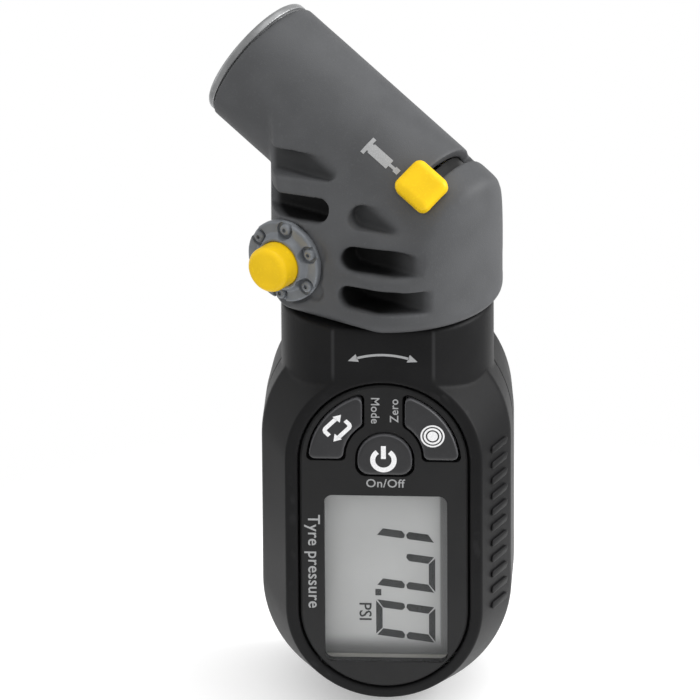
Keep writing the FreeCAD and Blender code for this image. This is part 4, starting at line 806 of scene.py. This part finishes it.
def softened(node, name, cell_mm, passes, keep=0.5, share_of=None, more=()):
    """Stands for a CAD node, with the soft edges that a mould leaves."""
    mesh = NODES[node].data.copy()
    mesh.materials.clear()
    thing = add_mesh(name, mesh)
    worked(thing, "WELD", merge_threshold=0.002 * MM)
    worked(thing, "REMESH", mode="VOXEL", voxel_size=cell_mm * MM, use_smooth_shade=True)
    smoothed(thing, passes, share_of)
    for extra_passes, extra_share in more:
        smoothed(thing, extra_passes, extra_share)
    if keep < 1:
        worked(thing, "DECIMATE", ratio=keep)
    thing.data.shade_smooth()
    thing.data.materials.append(finish_named(FINISH_OF[node]))
    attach(thing, body_of(node))
    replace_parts(thing, node)
    return thing


# Flat shapes, drawn in millimetres and then laid on a surface


def band(points, width, closed=False):
    """Quads of a stroke of even width along points."""
    line = [Vector(p) for p in points]
    count = len(line)
    sides = []
    for i, point in enumerate(line):
        before = line[i - 1] if i or closed else None
        after = line[(i + 1) % count] if i < count - 1 or closed else None
        steps = []
        if before is not None:
            steps.append((point - before).normalized())
        if after is not None:
            steps.append((after - point).normalized())
        heading = sum(steps, Vector((0, 0))).normalized()
        reach = width / 2 / max(0.4, heading.dot(steps[0]))
        normal = Vector((-heading.y, heading.x)) * reach
        sides.append((point + normal, point - normal))
    quads = []
    for i in range(count if closed else count - 1):
        (a, b), (c, d) = sides[i], sides[(i + 1) % count]
        quads.append([a, b, d, c])
    return quads


def arc(centre, radius, start, sweep, steps):
    places = []
    for i in range(steps + 1):
        angle = math.radians(start + sweep * i / steps)
        places.append((centre[0] + radius * math.cos(angle), centre[1] + radius * math.sin(angle)))
    return places


def circle(centre, radius, width, steps=48):
    return band(arc(centre, radius, 0, 360, steps)[:-1], width, closed=True)


def dot(centre, radius, steps=32):
    return [arc(centre, radius, 0, 360, steps)[:-1]]


def arrow_tip(point, heading, length, width):
    """A triangle that ends at a point."""
    tip = Vector(point)
    ahead = Vector(heading).normalized()
    side = Vector((-ahead.y, ahead.x)) * width / 2
    base = tip - ahead * length
    return [[tip, base + side, base - side]]


def block(a0, a1, b0, b1):
    return [[(a0, b0), (a1, b0), (a1, b1), (a0, b1)]]


def laid(name, faces, surface, material, body, thickness, cut_mm=None):
    """A thin film of the given shape on a surface, as a closed solid."""
    mesh = bpy.data.meshes.new(name)
    shape = bmesh.new()
    for face in faces:
        shape.faces.new([shape.verts.new((p[0], p[1], 0)) for p in face])
    bmesh.ops.remove_doubles(shape, verts=shape.verts, dist=0.002)
    if cut_mm:
        long_edges = [e for e in shape.edges if e.calc_length() > cut_mm]
        while long_edges:
            bmesh.ops.subdivide_edges(shape, edges=long_edges, cuts=1, use_grid_fill=True)
            bmesh.ops.triangulate(shape, faces=shape.faces)
            long_edges = [e for e in shape.edges if e.calc_length() > cut_mm * 1.5]
    top = bmesh.ops.extrude_face_region(shape, geom=list(shape.faces))
    for vert in [v for v in top["geom"] if isinstance(v, bmesh.types.BMVert)]:
        vert.co.z = thickness
    for vert in shape.verts:
        vert.co = surface(vert.co.x, vert.co.y, vert.co.z)
    bmesh.ops.recalc_face_normals(shape, faces=shape.faces)
    shape.to_mesh(mesh)
    shape.free()
    mesh.materials.append(finish_named(material))
    thing = add_mesh(name, mesh)
    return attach(thing, body)


def facing(axes_x, axes_z, level_y, quarter=0):
    """A surface that faces the reader at a local y; quarter 1 turns the drawing clockwise."""

    def surface(a, b, h):
        if quarter == 1:
            a, b = b, -a
        elif quarter == -1:
            a, b = -b, a
        return HOUSING.place(axes_x + a, level_y - h, axes_z + b)

    return surface


def word(name, text, cap_mm, surface, material, body, thickness, spacing=1.05):
    """A word as a thin film, centred on the surface's own origin."""
    curve = bpy.data.curves.new(name, "FONT")
    curve.body = text
    curve.size = cap_mm * 1.38
    curve.align_x = "CENTER"
    curve.align_y = "CENTER"
    curve.space_character = spacing
    curve.resolution_u = 3
    curve.offset = 0.012 * cap_mm
    curve.fill_mode = "FRONT"
    holder = add_mesh(name + "_outline", curve)
    flat = settled(holder)
    bpy.data.objects.remove(holder)
    faces = [[flat.vertices[i].co.xy for i in p.vertices] for p in flat.polygons]
    bpy.data.meshes.remove(flat)
    return laid(name, faces, surface, material, body, thickness)


# Operators, one for each group of pieces

def towards_camera(stage):
    turn = math.radians(stage.turn)
    rise = math.radians(stage.rise)
    level = math.cos(rise)
    return Vector((math.sin(turn) * level, -math.cos(turn) * level, math.sin(rise)))


class GAUGE_OT_stage(bpy.types.Operator):
    """Camera, pale floor and soft light"""

    bl_idname = "gauge.stage"
    bl_label = "Stage"

    def execute(self, context):
        stage = context.scene.gauge_stage
        context.scene.view_settings.view_transform = "Standard"
        self.camera(context, stage)
        self.floor(stage)
        self.sky(context, stage)
        self.lamps()
        return {"FINISHED"}

    def camera(self, context, stage):
        roll = math.radians(stage.roll)
        back = towards_camera(stage)
        target = HOUSING.place(*LOOK_AT)
        lens = bpy.data.cameras.new("camera")
        lens.sensor_width = 36
        lens.lens = 36 * stage.distance / (stage.view_width * MM)
        lens.clip_end = 20
        camera = bpy.data.objects.new("camera", lens)
        context.scene.collection.objects.link(camera)
        place = Matrix.Translation(target + back * stage.distance)
        turn = (-back).to_track_quat("-Z", "Y").to_matrix().to_4x4()
        camera.matrix_world = place @ turn @ Matrix.Rotation(-roll, 4, "Z")
        context.scene.camera = camera

    def floor(self, stage):
        half = FLOOR_HALF_WIDTH
        mesh = bpy.data.meshes.new("floor")
        level = CAD_BOX[0].z - 0.05 * MM
        corners = [(-half, -half), (half, -half), (half, half), (-half, half)]
        points = [(SWIVEL.x + x, SWIVEL.y + y, level) for x, y in corners]
        mesh.from_pydata(points, [], [(0, 1, 2, 3)])
        floor = add_mesh("floor", mesh)
        finish = Finish("floor_pale", Roughness=0.9, Specular_IOR_Level=0.0)
        pale = finish.noise(120.0, 2.0)
        finish.feed("Base Color", finish.mix(pale, (0.79, 0.79, 0.79), (0.81, 0.81, 0.81)))
        across = finish.along(HOUSING, HOUSING.across)
        ahead = finish.along(HOUSING, HOUSING.ahead)
        solid = 1 - (across * across + ahead * ahead).root().between(*FLOOR_FADE)
        rays = finish.seen("Camera", "Glossy", "Transmission")
        white = {"Color": (1, 1, 1, 1), "Strength": rays * stage.floor_white}
        glow = finish.node("ShaderNodeEmission", {}, white)
        finish.material.cycles.emission_sampling = "NONE"
        lit = Shade(finish, finish.shader.outputs[0])
        both = finish.node("ShaderNodeAddShader", {}, {0: lit, 1: glow})
        clear = finish.node("ShaderNodeBsdfTransparent")
        faded = finish.node("ShaderNodeMixShader", {}, {0: solid, 1: clear, 2: both})
        output = finish.tree.nodes["Material Output"]
        finish.tree.links.new(faded.socket, output.inputs["Surface"])
        mesh.materials.append(finish.material)

    def sky(self, context, stage):
        """Soft light, a little stronger from the upper right; a white backdrop and a dim room."""
        world = bpy.data.worlds.new("sky")
        context.scene.world = world
        world.use_nodes = True
        world.cycles.sampling_method = "NONE"
        sky = Nodes(world.node_tree)
        away = sky.node("ShaderNodeTexCoord", output="Generated")
        settings = {"operation": "DOT_PRODUCT"}
        behind = sky.node("ShaderNodeVectorMath", settings, {0: away, 1: -towards_camera(stage)}, 1)
        backdrop = behind.between(0.7, 0.92) * (1 - stage.room) + stage.room
        plain = 1 - sky.seen("Camera", "Glossy", "Transmission")
        glossy = sky.seen("Glossy")
        clear = sky.seen("Camera", "Transmission") * (1 - glossy)
        raised = sky.node("ShaderNodeVectorMath", settings, {0: away, 1: (0.55, -0.25, 0.8)}, 1)
        even = raised.between(-1.0, 1.0) * 0.4 + 0.8
        strength = plain * even * stage.sky + glossy * backdrop + clear
        ground = world.node_tree.nodes["Background"]
        ground.inputs["Color"].default_value = (1, 1, 1, 1)
        world.node_tree.links.new(strength.socket, ground.inputs["Strength"])

    def lamps(self):
        middle = HOUSING.place(0, 0, -15)
        for name, (towards, distance, size, power) in LAMPS.items():
            light = bpy.data.lights.new(name, "AREA")
            light.shape = "RECTANGLE"
            light.size, light.size_y = size
            light.energy = power
            lamp = bpy.data.objects.new(name, light)
            bpy.context.scene.collection.objects.link(lamp)
            direction = Vector(towards).normalized()
            lamp.location = middle + direction * distance
            lamp.rotation_mode = "QUATERNION"
            lamp.rotation_quaternion = (-direction).to_track_quat("-Z", "Y")


def roof_height(ahead):
    """Height of the head's roof above the chuck line, square to it."""
    flare = math.radians(ROOF_FLARE)
    touch_ahead = BARREL_RADIUS * math.cos(flare)
    touch_up = BARREL_RADIUS * math.sin(flare)
    ahead = np.abs(ahead)
    crown = np.sqrt(np.maximum(BARREL_RADIUS**2 - np.minimum(ahead, touch_ahead) ** 2, 0))
    return np.where(ahead < touch_ahead, crown, touch_up - (ahead - touch_ahead) / math.tan(flare))


def crown_share(points):
    """Most on the edge where the roof meets the back of the head, 0 from its reach on."""
    head = HEAD.local(points)
    chuck = CHUCK.local(points)
    from_drum = np.abs(np.hypot(head[:, 0], head[:, 1]) - DRUM_RADIUS)
    from_roof = np.abs(chuck[:, 2] - roof_height(chuck[:, 1]))
    share = 1 - np.hypot(from_drum, from_roof) / CROWN_REACH
    return np.where(head[:, 0] < 4.0, share * 1.6, 0)


def root_share(points):
    """Most where the barrel leaves the drum, 0 from its reach on."""
    head = HEAD.local(points)
    chuck = CHUCK.local(points)
    from_drum = np.abs(np.hypot(head[:, 0], head[:, 1]) - DRUM_RADIUS)
    from_barrel = np.abs(np.hypot(chuck[:, 1], chuck[:, 2]) - BARREL_RADIUS)
    share = 1 - np.hypot(from_drum, from_barrel) / ROOT_REACH
    return np.where(head[:, 0] > 2.0, share * 1.5, 0)


def head_share(points):
    """Full rounding on the head, less at the barrel's end and in the disc's recess."""
    chuck = CHUCK.local(points)
    head = HEAD.local(points)
    barrel_end = np.clip((BARREL_END - 0.9 - chuck[:, 0]) / 0.8, 0.1, 1)
    from_button = np.hypot(head[:, 0] - RELEASE_ACROSS, head[:, 2] - RELEASE_UP)
    past_recess = np.clip((from_button - RECESS_RADIUS) / 0.8, 0.3, 1)
    recess = np.where(head[:, 1] > 0, past_recess, 1)
    return barrel_end * recess


class GAUGE_OT_head(bpy.types.Operator):
    """Elbow head with its moulded grooves"""

    bl_idname = "gauge.head"
    bl_label = "Head"

    def execute(self, context):
        mould = context.scene.gauge_moulding
        more = [(mould.crown_passes, crown_share), (mould.root_passes, root_share)]
        softened(
            "head_shell", "head_moulding", mould.head_cell, mould.head_passes, 0.5, head_share, more
        )
        paint_node("head_base")
        return {"FINISHED"}


class GAUGE_OT_chuck(bpy.types.Operator):
    """End ring and rubber seal of the valve chuck"""

    bl_idname = "gauge.chuck"
    bl_label = "Chuck"

    def execute(self, context):
        softened("chuck_end_ring", "end_ring", 0.14, 3)
        softened("chuck_seal", "valve_seal", 0.2, 4)
        return {"FINISHED"}


class GAUGE_OT_release(bpy.types.Operator):
    """Release disc, its screws and the yellow button"""

    bl_idname = "gauge.release"
    bl_label = "Release valve"

    def execute(self, context):
        cell = context.scene.gauge_moulding.small_cell
        softened("release_disc", "release_plate", cell, 3)
        softened("release_button", "button_cap", cell, 10)
        paint_node("release_screws")
        return {"FINISHED"}


class GAUGE_OT_selector(bpy.types.Operator):
    """Yellow slider and the pump picture beside it"""

    bl_idname = "gauge.selector"
    bl_label = "Selector"

    def execute(self, context):
        cell = context.scene.gauge_moulding.small_cell
        softened("selector_slider", "slider_cap", cell, 12)
        self.pump_picture(context)
        return {"FINISHED"}

    def pump_picture(self, context):
        film = context.scene.gauge_printing.film
        angle = math.radians(PUMP_ANGLE)
        sunk = 0.05
        proud = film + 0.03

        def surface(a, b, h):
            turned = angle + b / BARREL_RADIUS
            radius = BARREL_RADIUS - sunk + h
            return CHUCK.place(PUMP_PLACE + a, radius * math.cos(turned), radius * math.sin(turned))

        handle = block(2.45, 3.05, -1.35, 1.35)
        neck = block(2.2, 2.45, -0.6, 0.6)
        barrel = block(-1.45, 2.2, -0.78, 0.78)
        rod = block(-2.4, -1.45, -0.22, 0.22)
        nozzle = block(-3.25, -2.4, -0.42, 0.42)
        shapes = handle + neck + barrel + rod + nozzle
        laid("pump_picture", shapes, surface, "print_grey", "head", sunk + proud, 0.6)


class GAUGE_OT_housing(bpy.types.Operator):
    """Black housing shells, collar arrow and grip ribs"""

    bl_idname = "gauge.housing"
    bl_label = "Housing"

    def execute(self, context):
        mould = context.scene.gauge_moulding
        for side in ("front", "rear"):
            shell = side + "_housing"
            softened(shell, side + "_shell", mould.housing_cell, mould.housing_passes, 0.45)
        softened("battery_door", "coin_door", 0.16, 4)
        for node in ("housing_gasket", "battery_door_seal", "housing_screws"):
            paint_node(node)
        self.turning_arrow(context)
        self.grip_ribs(context)
        return {"FINISHED"}

    def grip_ribs(self, context):
        """Short raised ribs along the right-hand bevel."""
        count = context.scene.gauge_printing.rib_count
        along = Vector((BEVEL_WIDTH, BEVEL_DEPTH)).normalized()

        def surface(a, b, h):
            x = RIM_HALF_WIDTH + along.x * (RIB_PLACE + a) + along.y * h
            y = -COLLAR_FRONT + along.y * (RIB_PLACE + a) - along.x * h
            return HOUSING.place(x, y, RIB_TOP + b)

        shapes = []
        half = RIB_LENGTH / 2 - RIB_WIDTH / 2
        for index in range(count):
            level = -RIB_PITCH * index
            far = arc((half, level), RIB_WIDTH / 2, -90, 180, 8)
            near = arc((-half, level), RIB_WIDTH / 2, 90, 180, 8)
            shapes.append(far + near)
        ribs = laid("grip_ribs", shapes, surface, "housing_black", "housing", RIB_HEIGHT)
        worked(ribs, "BEVEL", width=0.12 * MM, segments=2, limit_method="ANGLE")
        ribs.data.shade_smooth()

    def turning_arrow(self, context):
        """Double-headed arrow that shows the head's turn."""
        film = context.scene.gauge_printing.film
        half = 4.95
        rise = 1.0
        stroke = 0.36
        tip_length = 1.4
        tip_width = 1.25
        sunk = 0.03
        radius = (half**2 + rise**2) / (2 * rise)
        edge = math.degrees(math.asin(half / radius))
        inner = edge - math.degrees((tip_length - 0.1) / radius)
        centre = (0, -radius)
        shapes = band(arc(centre, radius, 90 + inner, -2 * inner, 24), stroke)
        for side in (-1, 1):
            turn = math.radians(90 - side * edge)
            tip = (radius * math.cos(turn), centre[1] + radius * math.sin(turn))
            lean = math.radians(-side * edge * 0.9)
            heading = (side * math.cos(lean), side * math.sin(lean))
            shapes += arrow_tip(tip, heading, tip_length, tip_width)
        surface = facing(-0.05, -3.8, -COLLAR_FRONT + sunk)
        laid("turning_arrow", shapes, surface, "print_grey", "housing", sunk + film)


class GAUGE_OT_panel(bpy.types.Operator):
    """Display panel, keys and their printing"""

    bl_idname = "gauge.panel"
    bl_label = "Panel and keys"

    def execute(self, context):
        cell = context.scene.gauge_moulding.small_cell
        paint_node("display_panel")
        for node in ("power_key", "unit_key", "tune_key"):
            softened(node, node + "_cap", cell, 22)
        self.key_pictures(context)
        self.words(context)
        return {"FINISHED"}

    def key_pictures(self, context):
        sunk = 0.03
        level = front_of("power_key") + sunk
        depth = context.scene.gauge_printing.film + sunk
        power = band(arc((0, 0), 1.53, 125, 290, 40), 0.72)
        power += block(-0.35, 0.35, 0.2, 2.2)
        laid("power_picture", power, facing(0.0, -20.0, level), "print_white", "power_key", depth)
        rings = circle((0, 0), 1.6, 0.24) + circle((0, 0), 1.12, 0.3) + dot((0, 0), 0.75)
        laid("rings_picture", rings, facing(7.02, -16.15, level), "print_white", "tune_key", depth)
        cycle = []
        for side in (1, -1):
            bend = [(-1.13, -1.2), (-1.7, -0.62), (-1.78, -0.35), (-1.7, -0.1), (-0.2, 1.42)]
            cycle += band([(side * x, side * y) for x, y in bend], 0.6)
            cycle += arrow_tip((side * 0.55, side * 2.1), (side * 0.62, side * 0.72), 1.05, 1.35)
        laid("cycle_picture", cycle, facing(-6.57, -15.1, level), "print_white", "unit_key", depth)

    def words(self, context):
        printing = context.scene.gauge_printing
        sunk = 0.02
        level = front_of("display_panel") + sunk
        depth = printing.film + sunk
        height = printing.word_height
        for name, text, x, z, quarter, size in PANEL_WORDS:
            surface = facing(x, z, level, quarter)
            word(name, text, height * size, surface, "print_grey", "housing", depth)


def figure_strokes(lit, height):
    """Seven-stroke figure, centred; lit names its strokes, a on top to g in the middle."""
    half_height = height / 2
    half_width = FIGURE_WIDTH / 2
    along = STROKE_ALONG
    across = STROKE_ACROSS
    gap = 0.09
    top = [
        (-half_width + gap * 2, half_height),
        (half_width - gap * 2, half_height),
        (half_width - across - gap, half_height - along),
        (-half_width + across + gap, half_height - along),
    ]
    side = [
        (half_width, half_height - gap * 2),
        (half_width - across, half_height - along - gap),
        (half_width - across, across * 0.45),
        (half_width - across * 0.55, gap),
        (half_width - 0.12, gap + 0.12),
        (half_width, gap + 0.45),
    ]
    middle = [
        (-half_width + across, 0),
        (-half_width + across * 1.4, along / 2),
        (half_width - across * 1.4, along / 2),
        (half_width - across, 0),
        (half_width - across * 1.4, -along / 2),
        (-half_width + across * 1.4, -along / 2),
    ]
    strokes = {
        "a": top,
        "b": side,
        "c": [(x, -y) for x, y in side],
        "d": [(x, -y) for x, y in top],
        "e": [(-x, -y) for x, y in side],
        "f": [(-x, y) for x, y in side],
        "g": middle,
    }
    return [strokes[name] for name in lit]


class GAUGE_OT_display(bpy.types.Operator):
    """Display cell, its figures and the clear window"""

    bl_idname = "gauge.display"
    bl_label = "Display"

    def execute(self, context):
        printing = context.scene.gauge_printing
        for node in ("lcd_glass", "lcd_frame", "zebra_strip", "display_lens"):
            paint_node(node)
        sunk = 0.01
        level = front_of("lcd_glass") + sunk
        depth = printing.film + sunk
        height = printing.figure_height
        shapes = []
        lean = math.tan(math.radians(FIGURE_LEAN))
        for index, lit in enumerate(FIGURE_STROKES):
            start = printing.figure_pitch * (index - 2)
            for stroke in figure_strokes(lit, height):
                shapes.append([(x + start + y * lean, y) for x, y in stroke])
        point_x = -printing.figure_pitch / 2 - 0.55
        shapes += block(point_x - 0.5, point_x + 0.5, -height / 2 - 0.1, -height / 2 + 0.75)
        surface = facing(2.93, FIRST_FIGURE_Z, level, 1)
        laid("display_figures", shapes, surface, "figure_dark", "housing", depth)
        unit = facing(-2.95, FIRST_FIGURE_Z + 1.4, level, 1)
        word("display_unit", "PSI", UNIT_HEIGHT, unit, "figure_dark", "housing", depth, 1.0)
        return {"FINISHED"}


class GAUGE_OT_inside(bpy.types.Operator):
    """Finishes of the working parts inside"""

    bl_idname = "gauge.inside"
    bl_label = "Inner parts"

    def execute(self, context):
        replaced = {n for thing in bpy.data.objects for n in thing.get("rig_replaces", [])}
        for node in NODES:
            if node not in replaced:
                paint_node(node)
        return {"FINISHED"}


class GAUGE_PT_panel(bpy.types.Panel):
    """Lists the steps that dress the gauge"""

    bl_label = "Gauge"
    bl_idname = "GAUGE_PT_panel"
    bl_space_type = "VIEW_3D"
    bl_region_type = "UI"
    bl_category = "Gauge"

    def draw(self, context):
        for step in STEPS:
            self.layout.operator(step.bl_idname)
        for name in GROUPS:
            box = self.layout.box()
            group = getattr(context.scene, name)
            for key in group.bl_rna.properties.keys():
                if key not in ("rna_type", "name"):
                    box.prop(group, key)


GROUPS = {
    "gauge_moulding": GaugeMoulding,
    "gauge_printing": GaugePrinting,
    "gauge_colours": GaugeColours,
    "gauge_stage": GaugeStage,
}
STEPS = [
    GAUGE_OT_stage,
    GAUGE_OT_head,
    GAUGE_OT_chuck,
    GAUGE_OT_release,
    GAUGE_OT_selector,
    GAUGE_OT_housing,
    GAUGE_OT_panel,
    GAUGE_OT_display,
    GAUGE_OT_inside,
]


def register():
    for group in GROUPS.values():
        bpy.utils.register_class(group)
    for name, group in GROUPS.items():
        setattr(bpy.types.Scene, name, bpy.props.PointerProperty(type=group))
    for step in STEPS:
        bpy.utils.register_class(step)
    bpy.utils.register_class(GAUGE_PT_panel)


def unregister():
    bpy.utils.unregister_class(GAUGE_PT_panel)
    for step in reversed(STEPS):
        bpy.utils.unregister_class(step)
    for name, group in GROUPS.items():
        delattr(bpy.types.Scene, name)
        bpy.utils.unregister_class(group)


def main():
    register()
    for step in STEPS:
        area, action = step.bl_idname.split(".")
        getattr(getattr(bpy.ops, area), action)()


if __name__ == "__main__":
    main()
